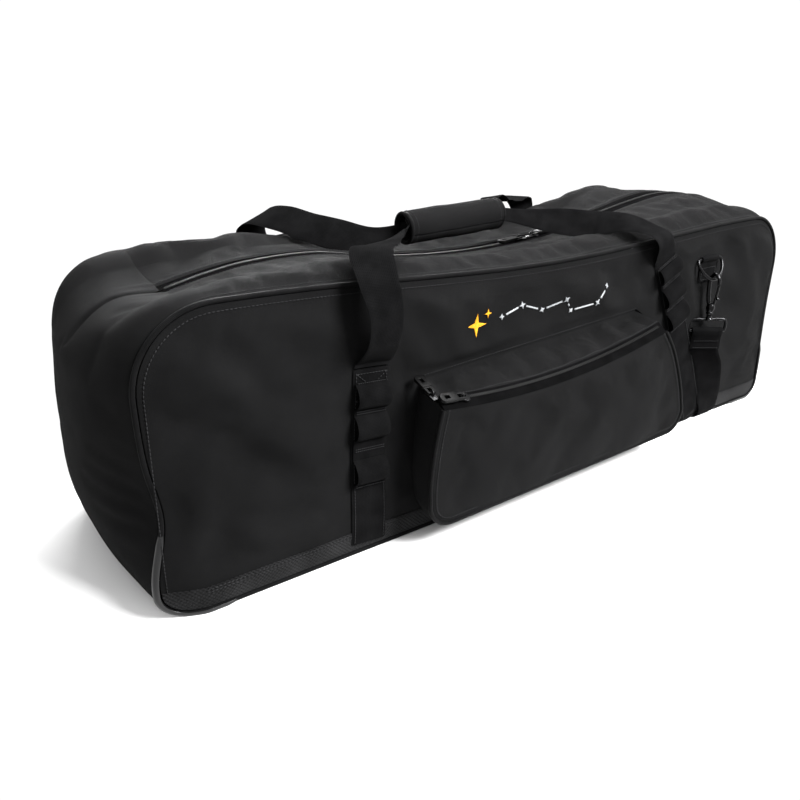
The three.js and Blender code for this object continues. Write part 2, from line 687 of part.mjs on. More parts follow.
function addCarryRing(label, to) {
  const tab = [
    [196, -122.4], [213, -122.5], [220, -122.9], [226, -124.4], [227.3, -127], [225.6, -129.6],
    [222.4, -129], [219.5, -126.4], [215, -124.9], [204, -124.6], [196, -124.6],
  ].map(([z, y]) => [RING_X, y, z]);
  const level = tab.map(() => [1, 0, 0]);
  add(`${label}_ring_tab`, strap(tab, level, 24, 33, 1.2), webbing, to);
  const down = vec(0, Math.cos(RING_LEAN), -Math.sin(RING_LEAN));
  add(`${label}_ring`, hoop(ringPoints(), 1.8, down, 8), blackMetal, to);

  const hook = acrossBow(
    [[0, -38], [3.6, -29], [5.6, -14], [5.6, -1], [0.4, 6.6], [-5.4, 2.4], [-6.6, -6]],
    2,
    18,
  );
  add(`${label}_hook`, joined(hook, post(5, BOW.z - 45, BOW.z - 30)), blackMetal, to);
  const gate = acrossBow([[-4.6, -29], [-5.8, -18], [-6.6, -8]], 1.4, 2);
  add(`${label}_gate`, gate, blackMetal, to);

  const frame = [
    [-20, 0], [0, 0], [20, 0], [22, 2], [22, 13], [20, 15], [4, 15], [-4, 15], [-20, 15], [-22, 13],
    [-22, 2],
  ].map(([x, z]) => vec(x, 0, z).applyAxisAngle(vec(0, 0, 1), STRAP_TURN)
    .add(vec(BOW.x, BOW.y, EYE_BAR)));
  const face = vec(0, 1, 0).applyAxisAngle(vec(0, 0, 1), STRAP_TURN);
  const stem = post(3, EYE_BAR + 14, BOW.z - 45.4);
  add(`${label}_eye`, joined(hoop(frame, 1.9, face, 8), stem), blackMetal, to);
}

// The end of the shoulder strap: folded over the eye's bar, then down and in under the case.
function addStrapEnd(label, to) {
  const turned = [Math.cos(STRAP_TURN), Math.sin(STRAP_TURN), 0];
  const out = vec(Math.sin(STRAP_TURN), -Math.cos(STRAP_TURN), 0);
  const beside = (away, z) => [BOW.x + out.x * away, BOW.y + out.y * away, z];
  const points = [
    beside(1.4, EYE_BAR - 24), beside(1.5, EYE_BAR - 10), beside(3.7, EYE_BAR - 3),
    beside(3.9, EYE_BAR + 1), beside(0, EYE_BAR + 4.2), beside(-3.9, EYE_BAR + 1),
    beside(-3.6, EYE_BAR - 3), beside(-0.9, EYE_BAR - 10), beside(-0.9, EYE_BAR - 24),
    [288, -136, 84], [305, -131, 48], [315, -128.4, 22], [318, -127, 10], [318, -124.8, 3.6],
    [318, -120.5, FLOOR_STRAP + 0.3], [318, -116, FLOOR_STRAP], [318, -112, FLOOR_STRAP],
  ];
  const level = [1, 0, 0];
  const sides = [...Array(9).fill(turned), [0.88, -0.47, 0], [0.95, -0.3, 0], [0.99, -0.1, 0],
    ...Array(5).fill(level)];
  add(`shoulder_strap_${label}`, strap(points, sides, 40), webbing, to);
}

// Half of the strap's way across the floor; the other half is the same, turned half round.
const UNDER = [[STRAP_CROSSING, -111.6], [316, -92], [298, -70], [250, -54]];
const UNDER_SIDES = [[1, 0, 0], [0.95, 0.31, 0], [0.6, 0.8, 0], [0.23, 0.97, 0]];

function underStrap(width, thickness, reach) {
  const half = UNDER.map(([x, y]) => [x, y, FLOOR_STRAP]);
  half[0][1] = -reach;
  const back = half.map(([x, y, z]) => [-x, -y, z]).reverse();
  const sides = [...UNDER_SIDES, [0.21, 0.98, 0], ...UNDER_SIDES.slice().reverse()];
  return strap([...half, [0, 0, FLOOR_STRAP], ...back], sides, 30, width, thickness);
}

function addBottom() {
  const wide = -OUTER - SEAM - GAP;
  const long = LENGTH / 2 - FLOOR_CORNER - GAP;
  const sheet = slab(1, 1, 1, (u, v, t) => vec((2 * u - 1) * long, (2 * v - 1) * wide, 5 * t));
  add('bottom_panel', cut(sheet, underStrap(WEBBING + 6, 4.6, wide + 4)), coarse);
  const stiff = slab(1, 1, 1, (u, v, t) => vec((2 * u - 1) * 375, (2 * v - 1) * 104, 5.4 + 3 * t));
  add('base_board', stiff, board);
  add('shoulder_strap_base', underStrap(WEBBING, WEBBING_THICK, 111.6), webbing);
}

function addEndPad(name, side) {
  const near = LENGTH / 2 - 16;
  const pad = slab(1, 1, 1, (u, v, t) => vec(side * (near + 8 * u), (2 * v - 1) * 104, 60 + 136 * t));
  add(name, pad, foam);
}

// ---------- putting it together ----------
addPanelSet('front', model);
addPanelSet('rear', rear);
addGuard('front_left_guard', -1);
addGuard('front_right_guard', 1);
addBottom();
addEnd('left_end_gusset', -1);
addEnd('right_end_gusset', 1);
addEndPad('left_end_pad', -1);
addEndPad('right_end_pad', 1);
addTopHalf('front', -1);
addTopHalf('rear', 1);
addMainSliders();
Object.keys(STRAPS).forEach(addPanelStrap);
['front_left', 'front_right'].forEach(addLashLadder);
Object.keys(ARMS).forEach(addArm);
addGrip();
addPocket();
addPocketSliders();
addCarryRing('front', model);
addCarryRing('rear', rear);
addStrapEnd('front', model);
addStrapEnd('rear', rear);

export default model;
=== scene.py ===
"""The looks of a telescope carry case: woven fabric, webbing, zips, piping and black metal, built
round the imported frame. Lengths are in millimetres until make() turns them into a mesh, but for
the camera's and the lights', which are in metres."""

import math
from contextlib import contextmanager

import bmesh
import bpy
import numpy as np
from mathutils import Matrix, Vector


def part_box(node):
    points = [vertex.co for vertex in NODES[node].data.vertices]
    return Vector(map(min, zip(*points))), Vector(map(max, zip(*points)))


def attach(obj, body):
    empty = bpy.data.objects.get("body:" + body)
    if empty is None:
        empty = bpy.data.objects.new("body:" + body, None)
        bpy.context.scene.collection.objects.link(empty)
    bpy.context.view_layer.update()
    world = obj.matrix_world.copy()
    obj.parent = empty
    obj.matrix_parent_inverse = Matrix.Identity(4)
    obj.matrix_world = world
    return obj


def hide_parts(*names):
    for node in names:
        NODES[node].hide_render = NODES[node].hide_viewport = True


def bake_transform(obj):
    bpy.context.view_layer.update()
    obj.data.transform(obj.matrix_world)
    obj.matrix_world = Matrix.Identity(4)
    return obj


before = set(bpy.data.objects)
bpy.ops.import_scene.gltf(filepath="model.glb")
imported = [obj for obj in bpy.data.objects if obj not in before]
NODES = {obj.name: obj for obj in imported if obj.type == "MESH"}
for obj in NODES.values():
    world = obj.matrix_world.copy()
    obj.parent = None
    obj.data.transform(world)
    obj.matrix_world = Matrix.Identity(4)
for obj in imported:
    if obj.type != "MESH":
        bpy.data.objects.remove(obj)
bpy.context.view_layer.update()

MM = 0.001


def low(node):
    return np.array(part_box(node)[0]) / MM


def high(node):
    return np.array(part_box(node)[1]) / MM


# ---------- driving sizes, the frame's own where it holds them ----------
PIPING = (high("front_piping")[1] - low("front_piping")[1]) / 2
HALF = high("front_piping")[0] - PIPING  # half the length between the end seams
HEIGHT = high("front_piping")[2] - PIPING
DEEP = -low("front_panel")[1]  # from the middle to a panel's outer face
ZIP_HALF = high("front_top_flap")[0]
KICK = high("front_kick_band")[2]
POCKET_Y = low("pocket_front")[1]
GRIP_LOW, GRIP_HIGH = low("grip_wrap"), high("grip_wrap")
TOP_CORNER = 68
FLOOR_CORNER = 22
TOP_SAG = 14
HALF_WAY_UP = 130
END_BULGE = ((0, 12), (10, 14), (30, 19), (60, 24), (100, 27), (130, 28), (160, 27), (195, 22),
             (240, 19), (300, 19))  # height above the floor, and how far the left end stands out
RIGHT_BULGE = 0.6  # the right end's, as a share of the left end's
WEBBING = 38
ZIP_TAPE = 15
STRAP_CROSSING = high("shoulder_strap_base")[0] - WEBBING / 2
RING_X = 270
RIGHT, BACK, UP = (1, 0, 0), (0, 1, 0), (0, 0, 1)
FLIP = np.array([-1, 1])  # turns a rear panel's outline round, so that it is seen from outside

# ---------- camera and light ----------
EYE = (-0.568, -0.643, 0.404)
LOOK = (0.536, 0.755, -0.378)
LENS = 32.85
WORLD_STRENGTH = 1.05
SOFTBOXES = (  # name, place, height aimed at, size in metres and power in watts
    ("top_softbox", (0.55, 0.3, 1.7), 0.1, (1.3, 0.8), 76),
    ("front_softbox", (0.9, -1.7, 1.8), 0.15, (1.2, 0.9), 290),
    ("rear_softbox", (1.0, 2.3, 1.2), 0.15, (1.4, 0.9), 150),
)
PAPER = 0.75
PAPER_OVAL = (0.75, 1.6, 1.0)  # the clear paper reaches further along the case than across it
PAPER_ENDS, PAPER_WHOLE = 0.48, 0.34


def new_object(name, data):
    piece = bpy.data.objects.new(name, data)
    bpy.context.collection.objects.link(piece)
    return piece


def stand(name, data, place, facing):
    """A camera or a lamp at a place, turned to face a direction."""
    piece = new_object(name, data)
    piece.location = place
    piece.rotation_euler = Vector(facing).to_track_quat("-Z", "Y").to_euler()
    return piece


def add_camera():
    data = bpy.data.cameras.new("camera")
    data.lens = LENS
    data.sensor_width = 36
    bpy.context.scene.camera = stand("camera", data, EYE, LOOK)


def add_light(name, place, aim, size, power):
    data = bpy.data.lights.new(name, "AREA")
    data.shape = "RECTANGLE"
    data.size, data.size_y = size
    data.energy = power
    stand(name, data, place, Vector((0, 0, aim)) - Vector(place))


def add_studio():
    world = bpy.data.worlds.new("studio")
    world.use_nodes = True
    sky = world.node_tree.nodes["Background"]
    sky.inputs["Color"].default_value = (1, 1, 1, 1)
    sky.inputs["Strength"].default_value = WORLD_STRENGTH
    bpy.context.scene.world = world
    bpy.context.scene.view_settings.view_transform = "Standard"
    for softbox in SOFTBOXES:
        add_light(*softbox)
    bpy.ops.mesh.primitive_plane_add(size=6, location=(0, 0, -0.0004))
    floor = bpy.context.object
    floor.name = "floor"
    paper = bpy.data.materials.new("pale_floor")
    paper.use_nodes = True
    tree = paper.node_tree
    shader = tree.nodes["Principled BSDF"]
    shader.inputs["Base Color"].default_value = (PAPER, PAPER, PAPER, 1)
    shader.inputs["Roughness"].default_value = 1.0
    shader.inputs["Specular IOR Level"].default_value = 0.0
    # the paper thins out to nothing before its edge, so that no horizon shows
    away = tree.nodes.new("ShaderNodeVectorMath")
    away.operation = "LENGTH"
    oval = tree.nodes.new("ShaderNodeVectorMath")
    oval.operation = "MULTIPLY"
    oval.inputs[1].default_value = PAPER_OVAL
    fade = tree.nodes.new("ShaderNodeMapRange")
    fade.interpolation_type = "SMOOTHSTEP"
    fade.inputs["From Min"].default_value = PAPER_ENDS
    fade.inputs["From Max"].default_value = PAPER_WHOLE
    tree.links.new(tree.nodes.new("ShaderNodeTexCoord").outputs["Object"], oval.inputs[0])
    tree.links.new(oval.outputs[0], away.inputs[0])
    tree.links.new(away.outputs["Value"], fade.inputs["Value"])
    tree.links.new(fade.outputs[0], shader.inputs["Alpha"])
    floor.data.materials.append(paper)


add_camera()
add_studio()


# ---------- curves ----------
def smooth(t):
    t = np.clip(t, 0, 1)
    return t * t * (3 - 2 * t)


def mix(a, b, t):
    return a + (b - a) * t


def near(distance, width):
    """1 at no distance, falling softly to 0 past width."""
    return np.exp(-((distance / width) ** 2))


def unit(vectors):
    """The vectors at a length of one."""
    return vectors / np.linalg.norm(vectors, axis=-1, keepdims=True)


def joined(*lengths):
    """Points from their coordinates, each of which may be a number, a line or a grid."""
    return np.stack(np.broadcast_arrays(*lengths), axis=-1)


def run_of(line):
    """How far along a line each of its points is."""
    return np.concatenate([[0], np.cumsum(np.linalg.norm(np.diff(line, axis=0), axis=1))])


def line_through(points, steps, even=False):
    """A Catmull-Rom line through points, at steps + 1 even parameters."""
    p = np.array(points, float)
    p = np.vstack([2 * p[0] - p[1], p, 2 * p[-1] - p[-2]])
    gaps = np.ones(len(p) - 1) if even else np.linalg.norm(np.diff(p, axis=0), axis=1) ** 0.5
    gaps = np.maximum(gaps, 1e-3)
    u = np.linspace(0, len(points) - 1, steps + 1)
    i = np.minimum(u.astype(int), len(points) - 2)
    t = (u - i)[:, None]
    a, b, c, d = p[i], p[i + 1], p[i + 2], p[i + 3]
    g0, g1, g2 = (gaps[i + k][:, None] for k in range(3))
    m1 = g1 * ((b - a) / g0 - (c - a) / (g0 + g1) + (c - b) / g1)
    m2 = g1 * ((c - b) / g1 - (d - b) / (g1 + g2) + (d - c) / g2)
    return b + m1 * t + (3 * (c - b) - 2 * m1 - m2) * t**2 + (2 * (b - c) + m1 + m2) * t**3


def resample(points, steps):
    """The same line with its points an even distance apart."""
    p = np.array(points, float)
    run = run_of(p)
    spots = np.linspace(0, run[-1], steps + 1)
    return joined(*(np.interp(spots, run, column) for column in p.T))


def arc(x, z, radius, start, stop, steps=16):
    turn = np.radians(np.linspace(start, stop, steps + 1))
    return joined(x + radius * np.cos(turn), z + radius * np.sin(turn))


def patch(foot, top, left, right, wide, tall):
    """A grid of points between four edges. foot and top run to the right, the sides run up."""
    b, t = resample(foot, wide)[:, None], resample(top, wide)[:, None]
    lf, r = resample(left, tall)[None], resample(right, tall)[None]
    u = np.linspace(0, 1, wide + 1)[:, None, None]
    v = np.linspace(0, 1, tall + 1)[None, :, None]
    corners = (1 - u) * (1 - v) * b[:1] + u * (1 - v) * b[-1:] + (1 - u) * v * t[:1] + u * v * t[-1:]
    return (1 - v) * b + v * t + (1 - u) * lf + u * r - corners


def ripples(a, b, size, seed, slant=0.0, spread=math.pi):
    """Soft random waves of about that size over two lengths, from about -1 to 1."""
    dice = np.random.default_rng(seed)
    total = 0
    waves = 14
    for _ in range(waves):
        turn = slant + spread * (dice.random() - 0.5)
        length = size * dice.uniform(0.6, 1.7)
        phase = dice.uniform(0, 2 * math.pi)
        total = total + np.sin(2 * math.pi * (a * math.cos(turn) + b * math.sin(turn)) / length + phase)
    return total / math.sqrt(waves)


# ---------- materials ----------
class Nodes:
    """Short calls for one material's node tree."""

    def __init__(self, name, color, roughness, metallic=0.0):
        self.material = bpy.data.materials.new(name)
        self.material.use_nodes = True
        self.tree = self.material.node_tree
        self.shader = self.tree.nodes["Principled BSDF"]
        self.set("Base Color", (*color, 1))
        self.set("Roughness", roughness)
        self.set("Metallic", metallic)

    def set(self, socket, value):
        self.shader.inputs[socket].default_value = value

    def link(self, source, target):
        if isinstance(source, (int, float)):
            target.default_value = source
        else:
            self.tree.links.new(source, target)

    def math(self, operation, a, b=0.0):
        node = self.tree.nodes.new("ShaderNodeMath")
        node.operation = operation
        self.link(a, node.inputs[0])
        self.link(b, node.inputs[1])
        return node.outputs[0]

    def lengths(self):
        """The two lengths of a piece's cloth, in millimetres."""
        uv = self.tree.nodes.new("ShaderNodeUVMap")
        uv.uv_map = "cloth"
        split = self.tree.nodes.new("ShaderNodeSeparateXYZ")
        self.tree.links.new(uv.outputs[0], split.inputs[0])
        return [self.math("MULTIPLY", split.outputs[k], 1000.0) for k in range(2)]

    def place(self):
        return self.tree.nodes.new("ShaderNodeTexCoord").outputs["Object"]

    def total(self, first, *more):
        """One value with others added to it, each times its own share."""
        for value, share in more:
            first = self.math("ADD", first, self.math("MULTIPLY", value, share))
        return first

    def noise(self, scale, detail):
        node = self.tree.nodes.new("ShaderNodeTexNoise")
        node.inputs["Scale"].default_value = scale
        node.inputs["Detail"].default_value = detail
        self.tree.links.new(self.place(), node.inputs["Vector"])
        return node.outputs["Fac"]

    def wave(self, length, pitch):
        """A sine along a length, with that pitch in millimetres."""
        return self.math("SINE", self.math("MULTIPLY", length, 2 * math.pi / pitch))

    def vary(self, socket, value, low_value, high_value):
        """A number or colour that follows value, from low to high."""
        ramp = self.tree.nodes.new("ShaderNodeMapRange")
        ramp.inputs["From Min"].default_value = 0.25
        ramp.inputs["From Max"].default_value = 0.75
        self.tree.links.new(value, ramp.inputs["Value"])
        result = ramp.outputs[0]
        if isinstance(low_value, tuple):
            blend = self.tree.nodes.new("ShaderNodeMix")
            blend.data_type = "RGBA"
            self.tree.links.new(result, blend.inputs[0])
            blend.inputs[6].default_value = (*low_value, 1)
            blend.inputs[7].default_value = (*high_value, 1)
            result = blend.outputs[2]
        else:
            ramp.inputs["To Min"].default_value = low_value
            ramp.inputs["To Max"].default_value = high_value
        self.tree.links.new(result, self.shader.inputs[socket])

    def bump(self, height, depth):
        """Relief of that depth in millimetres."""
        node = self.tree.nodes.new("ShaderNodeBump")
        node.inputs["Strength"].default_value = 1.0
        node.inputs["Distance"].default_value = depth * MM
        self.tree.links.new(height, node.inputs["Height"])
        self.tree.links.new(node.outputs[0], self.shader.inputs["Normal"])


def fabric(name, dark, light, pitch, depth, roughness=0.8, basket=1):
    """Plain weave: yarns over and under each other, with slubs and faint rubbing."""
    made = Nodes(name, light, roughness)
    made.set("Sheen Weight", 0.008)
    made.set("Sheen Roughness", 0.45)
    made.set("Specular IOR Level", 0.03)
    u, v = made.lengths()
    weave = made.math("MULTIPLY", made.wave(u, pitch * basket), made.wave(v, pitch * basket))
    yarn = made.math("ADD", made.wave(u, pitch / 2), made.wave(v, pitch / 2))
    fuzz = made.noise(900.0, 2.0)
    made.bump(made.total(weave, (yarn, 0.22), (fuzz, 0.9)), depth)
    rub = made.noise(22.0, 5.0)
    tone = made.total(made.math("MULTIPLY", rub, 0.75), (fuzz, 0.25))
    made.vary("Base Color", tone, dark, light)
    made.vary("Roughness", rub, roughness - 0.08, roughness + 0.08)
    return made.material


def ribbed(name, dark, light, along, across, depth, shine=0.02, roughness=0.62):
    """Woven tape: ribs along its length crossed by the weft."""
    made = Nodes(name, light, roughness)
    made.set("Sheen Weight", 0.008)
    made.set("Sheen Roughness", 0.35)
    made.set("Specular IOR Level", shine)
    u, v = made.lengths()
    column = made.wave(v, across)
    weft = made.math("SINE", made.total(made.math("MULTIPLY", u, 2 * math.pi / along), (column, 1.3)))
    made.bump(made.total(weft, (column, 0.6), (made.noise(1100.0, 2.0), 0.7)), depth)
    tone = made.math("ADD", made.math("MULTIPLY", weft, 0.18), made.noise(60.0, 4.0))
    made.vary("Base Color", tone, dark, light)
    return made.material


def smooth_stuff(name, color, roughness, metallic=0.0, coat=0.0, grain=0.03, shine=0.5):
    """Moulded, dipped or plated: fine grain and faint handling marks."""
    made = Nodes(name, color, roughness, metallic)
    made.set("Coat Weight", coat)
    made.set("Coat Roughness", 0.12)
    made.set("Specular IOR Level", shine)
    made.vary("Roughness", made.noise(45.0, 6.0), roughness - 0.07, roughness + 0.12)
    made.bump(made.noise(260.0, 5.0), grain)
    return made.material


def grey(level):
    """A grey that leans a little to blue, as black cloth does."""
    return (level, level, level * 1.04)


CANVAS = fabric("canvas", grey(0.0026), grey(0.0066), 1.0, 0.3)
COARSE = fabric("coarse_canvas", grey(0.0015), grey(0.02), 2.0, 0.9, roughness=0.6, basket=2)
LINING = fabric("lining", grey(0.012), grey(0.02), 0.8, 0.08)
WEB = ribbed("webbing", grey(0.0022), grey(0.0046), 1.3, 1.6, 0.09, shine=0.0)
TAPE = ribbed("zip_tape", grey(0.0012), grey(0.003), 1.1, 1.5, 0.15, shine=0.0)
CORD = ribbed("piping", grey(0.0022), grey(0.005), 0.9, 0.9, 0.1, roughness=0.45)
COIL = smooth_stuff("zip_coil", grey(0.0016), 0.55, shine=0.1)
VINYL = smooth_stuff("vinyl", grey(0.006), 0.3, coat=0.05, grain=0.05, shine=0.3)
METAL = smooth_stuff("black_nickel", grey(0.013), 0.26, metallic=1.0, coat=0.05, grain=0.015)
MOULDED = smooth_stuff("moulded_pull", grey(0.0012), 0.45, shine=0.08)
THREAD = ribbed("thread", grey(0.011), grey(0.024), 0.5, 0.5, 0.05, roughness=0.55)
GREY_YARN = ribbed("grey_yarn", (0.2, 0.21, 0.22), (0.4, 0.41, 0.42), 1.1, 0.55, 0.22, roughness=0.45)
AMBER_YARN = ribbed("amber_yarn", (0.5, 0.21, 0.012), (0.85, 0.4, 0.03), 1.1, 0.55, 0.22, roughness=0.45)


# ---------- meshes ----------
@contextmanager
def reshaped(mesh):
    """The mesh as a bmesh, written back when the block ends."""
    shaper = bmesh.new()
    shaper.from_mesh(mesh)
    yield shaper
    shaper.to_mesh(mesh)
    shaper.free()


def shade_smooth(mesh, sharp):
    """Smooth shading, but for edges that turn by more than sharp degrees."""
    mesh.polygons.foreach_set("use_smooth", [True] * len(mesh.polygons))
    mesh.set_sharp_from_angle(angle=math.radians(sharp))


def apply_modifier(piece, name):
    with bpy.context.temp_override(object=piece, active_object=piece, selected_objects=[piece]):
        bpy.ops.object.modifier_apply(modifier=name)


def make(name, points, faces, uv, finish):
    """A smooth mesh from points in millimetres."""
    mesh = bpy.data.meshes.new(name)
    mesh.from_pydata((np.asarray(points, float) * MM).tolist(), [], faces)
    layer = mesh.uv_layers.new(name="cloth")
    corners = np.empty(len(mesh.loops), int)
    mesh.loops.foreach_get("vertex_index", corners)
    layer.data.foreach_set("uv", (np.asarray(uv, float)[corners] * MM).ravel())
    mesh.materials.append(finish)
    with reshaped(mesh) as shaper:
        bmesh.ops.recalc_face_normals(shaper, faces=shaper.faces)
    shade_smooth(mesh, 50)
    piece = new_object(name, mesh)
    return piece


def grid_faces(n, m):
    """The four-sided faces of a grid of n by m points."""
    spot = np.arange(n * m).reshape(n, m)
    return np.stack([spot[:-1, :-1], spot[1:, :-1], spot[1:, 1:], spot[:-1, 1:]], axis=2).reshape(-1, 4)


def grid_normals(points, away):
    """Unit normals of a grid of points, on the side that faces away."""
    normal = np.cross(np.gradient(points, axis=0), np.gradient(points, axis=1))
    normal /= np.maximum(np.linalg.norm(normal, axis=2, keepdims=True), 1e-9)
    towards = np.sum(normal * np.asarray(away, float), axis=2).mean()
    return normal if towards > 0 else -normal


def every_pair(a, b):
    """A grid that pairs each value of a with each of b."""
    return np.stack(np.meshgrid(a, b, indexing="ij"), axis=2)


def grid_lengths(points):
    """How far along the cloth each point of a grid is, both ways."""
    steps = np.linalg.norm(np.diff(points, axis=0), axis=2).mean(axis=1)
    rows = np.linalg.norm(np.diff(points, axis=1), axis=2).mean(axis=0)
    return every_pair(np.concatenate([[0], np.cumsum(steps)]), np.concatenate([[0], np.cumsum(rows)]))


def sheet(name, outer, away, finish, thick=1.6, lengths=None):
    """A closed piece of cloth from a grid of points on its outer face."""
    n, m = outer.shape[:2]
    inner = outer - grid_normals(outer, away) * thick
    points = np.concatenate([outer.reshape(-1, 3), inner.reshape(-1, 3)])
    lengths = grid_lengths(outer) if lengths is None else lengths
    uv = np.concatenate([lengths.reshape(-1, 2)] * 2)
    quads = grid_faces(n, m)
    spot = np.arange(n * m).reshape(n, m)
    rim = np.concatenate([spot[:, 0], spot[-1, 1:], spot[-2::-1, -1], spot[0, -2:0:-1]])
    after = np.roll(rim, -1)
    walls = joined(rim, after, after + n * m, rim + n * m)
    faces = np.concatenate([quads, quads[:, ::-1] + n * m, walls]).tolist()
    return make(name, points, faces, uv, finish)


def loft(name, rings, finish, uv, closed=False):
    """A skin over rings of points. Unless the rings close on themselves, it is capped."""
    n, m = rings.shape[:2]
    spot = np.arange(n * m).reshape(n, m)
    if closed:
        spot = np.vstack([spot, spot[:1]])
    side = np.roll(spot, -1, axis=1)
    faces = joined(spot[:-1], spot[1:], side[1:], side[:-1]).reshape(-1, 4).tolist()
    if not closed:
        faces += [spot[0].tolist(), spot[-1].tolist()]
    return make(name, rings.reshape(-1, 3), faces, uv.reshape(-1, 2), finish)


def directions(line, closed=False):
    """Unit tangents along a line of points."""
    if closed:
        along = np.roll(line, -1, axis=0) - np.roll(line, 1, axis=0)
    else:
        along = np.gradient(line, axis=0)
    return unit(along)


def tube(name, line, radius, finish, facing, sides=12, closed=False, flat=1.0):
    """A round bar along a line. facing is any direction that the line never follows."""
    along = directions(line, closed)
    first = unit(np.cross(along, np.asarray(facing, float)))
    second = np.cross(first, along)
    turn = np.linspace(0, 2 * math.pi, sides, endpoint=False)
    radius = np.broadcast_to(np.asarray(radius, float), (len(line),))[:, None, None]
    rings = line[:, None] + radius * (
        first[:, None] * np.cos(turn)[None, :, None] + flat * second[:, None] * np.sin(turn)[None, :, None]
    )
    around = np.abs(np.where(turn > math.pi, turn - 2 * math.pi, turn))
    return loft(name, rings, finish, every_pair(run_of(line), around * radius.mean()), closed)


def ribbon(name, line, across, width=WEBBING, thick=1.8, cup=0.0, soft=0.12, seed=1):
    """Woven webbing along a line, with thick edges. across is the direction of its width."""
    across = unit(across)
    normal = unit(np.cross(directions(line), across))
    width = np.broadcast_to(np.asarray(width, float), (len(line),))
    a = np.linspace(-0.5, 0.5, 17)
    selvage = 0.86 + 0.14 * smooth((np.abs(a) - 0.38) / 0.08)
    edge = np.sqrt(np.maximum(1 - np.abs(2 * a) ** 10, 0)) * selvage
    spot = np.concatenate([a, a[-2:0:-1]])
    lift = np.concatenate([edge, -edge[-2:0:-1]]) * thick / 2
    run = run_of(line)
    wander = soft * ripples(run[:, None], spot[None] * WEBBING, 46.0, seed)
    bow = cup * (1 - (2 * spot[None]) ** 2)
    away = lift[None] + wander + bow
    rings = line[:, None] + across[:, None] * (spot[None] * width[:, None])[..., None]
    rings = rings + normal[:, None] * away[..., None]
    return loft(name, rings, WEB, every_pair(run, (spot + 0.5) * WEBBING))


def stitch_rows(name, rows, pitch=3.6, size=0.42):
    """Sewn dashes along rows. Each row is a line of points and the direction that faces out."""
    ends = np.array([-1, -0.8, -0.3, 0.3, 0.8, 1])[:, None]
    thin = np.array([0.25, 0.8, 1, 1, 0.8, 0.25])[:, None]
    turn = np.linspace(0, 2 * math.pi, 6, endpoint=False)
    all_points, all_faces, all_uv = [], [], []
    count = 0
    for line, facing in rows:
        length = run_of(line)[-1]
        spots = max(2, int(length / pitch))
        path = resample(line, spots)
        facing = np.broadcast_to(np.asarray(facing, float), line.shape)
        out = resample(np.hstack([line, facing]), spots)[:, 3:]
        middle = (path[:-1] + path[1:]) / 2
        out = (out[:-1] + out[1:]) / 2
        along = unit(path[1:] - path[:-1])
        side = np.cross(along, out)
        # each dash is six rings of six points: how far each goes along, out and to the side
        reach = ends * (pitch * 0.4)
        rise = size * (0.9 - 1.1 * ends**2) + thin * np.sin(turn) * size * 0.8
        spread = thin * np.cos(turn) * size
        ring = middle[:, None, None]
        for way, far in ((along, reach), (out, rise), (side, spread)):
            ring = ring + way[:, None, None] * far[None, ..., None]
        total = len(middle)
        block = np.arange(total * 36).reshape(total, 6, 6) + count
        over = np.roll(block, -1, axis=2)
        quads = joined(block[:, :-1], block[:, 1:], over[:, 1:], over[:, :-1]).reshape(-1, 4)
        all_faces += quads.tolist() + block[:, 0].tolist() + block[:, -1].tolist()
        all_points.append(ring.reshape(-1, 3))
        all_uv.append(np.tile(every_pair(ends[:, 0], turn).reshape(-1, 2), (total, 1)))
        count += total * 36
    return make(name, np.concatenate(all_points), all_faces, np.concatenate(all_uv), THREAD)


def refine(piece):
    """One more subdivision, applied."""
    modifier = piece.modifiers.new("refine", "SUBSURF")
    modifier.levels = modifier.render_levels = 1
    bpy.context.view_layer.objects.active = piece
    apply_modifier(piece, "refine")
    return piece


def put(piece, body, *nodes):
    """The piece rides on a body and stands for these CAD nodes."""
    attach(piece, body)
    if nodes:
        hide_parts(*nodes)
    return piece


def bend(piece, child, start, end, *nodes, parent="case"):
    """The piece's placement is baked into its mesh, and it stands for these CAD nodes."""
    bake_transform(piece)
    if nodes:
        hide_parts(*nodes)
    return piece


# ---------- cloth ----------
SETTLING_FRAMES = 22
CLOTH = {  # a firm canvas: heavy to stretch, and stiff enough to bend in broad folds
    "quality": 6, "mass": 0.25, "tension_stiffness": 25, "compression_stiffness": 25,
    "shear_stiffness": 12, "bending_stiffness": 6, "vertex_group_mass": "sewn", "pin_stiffness": 4,
    "use_pressure": True,
}


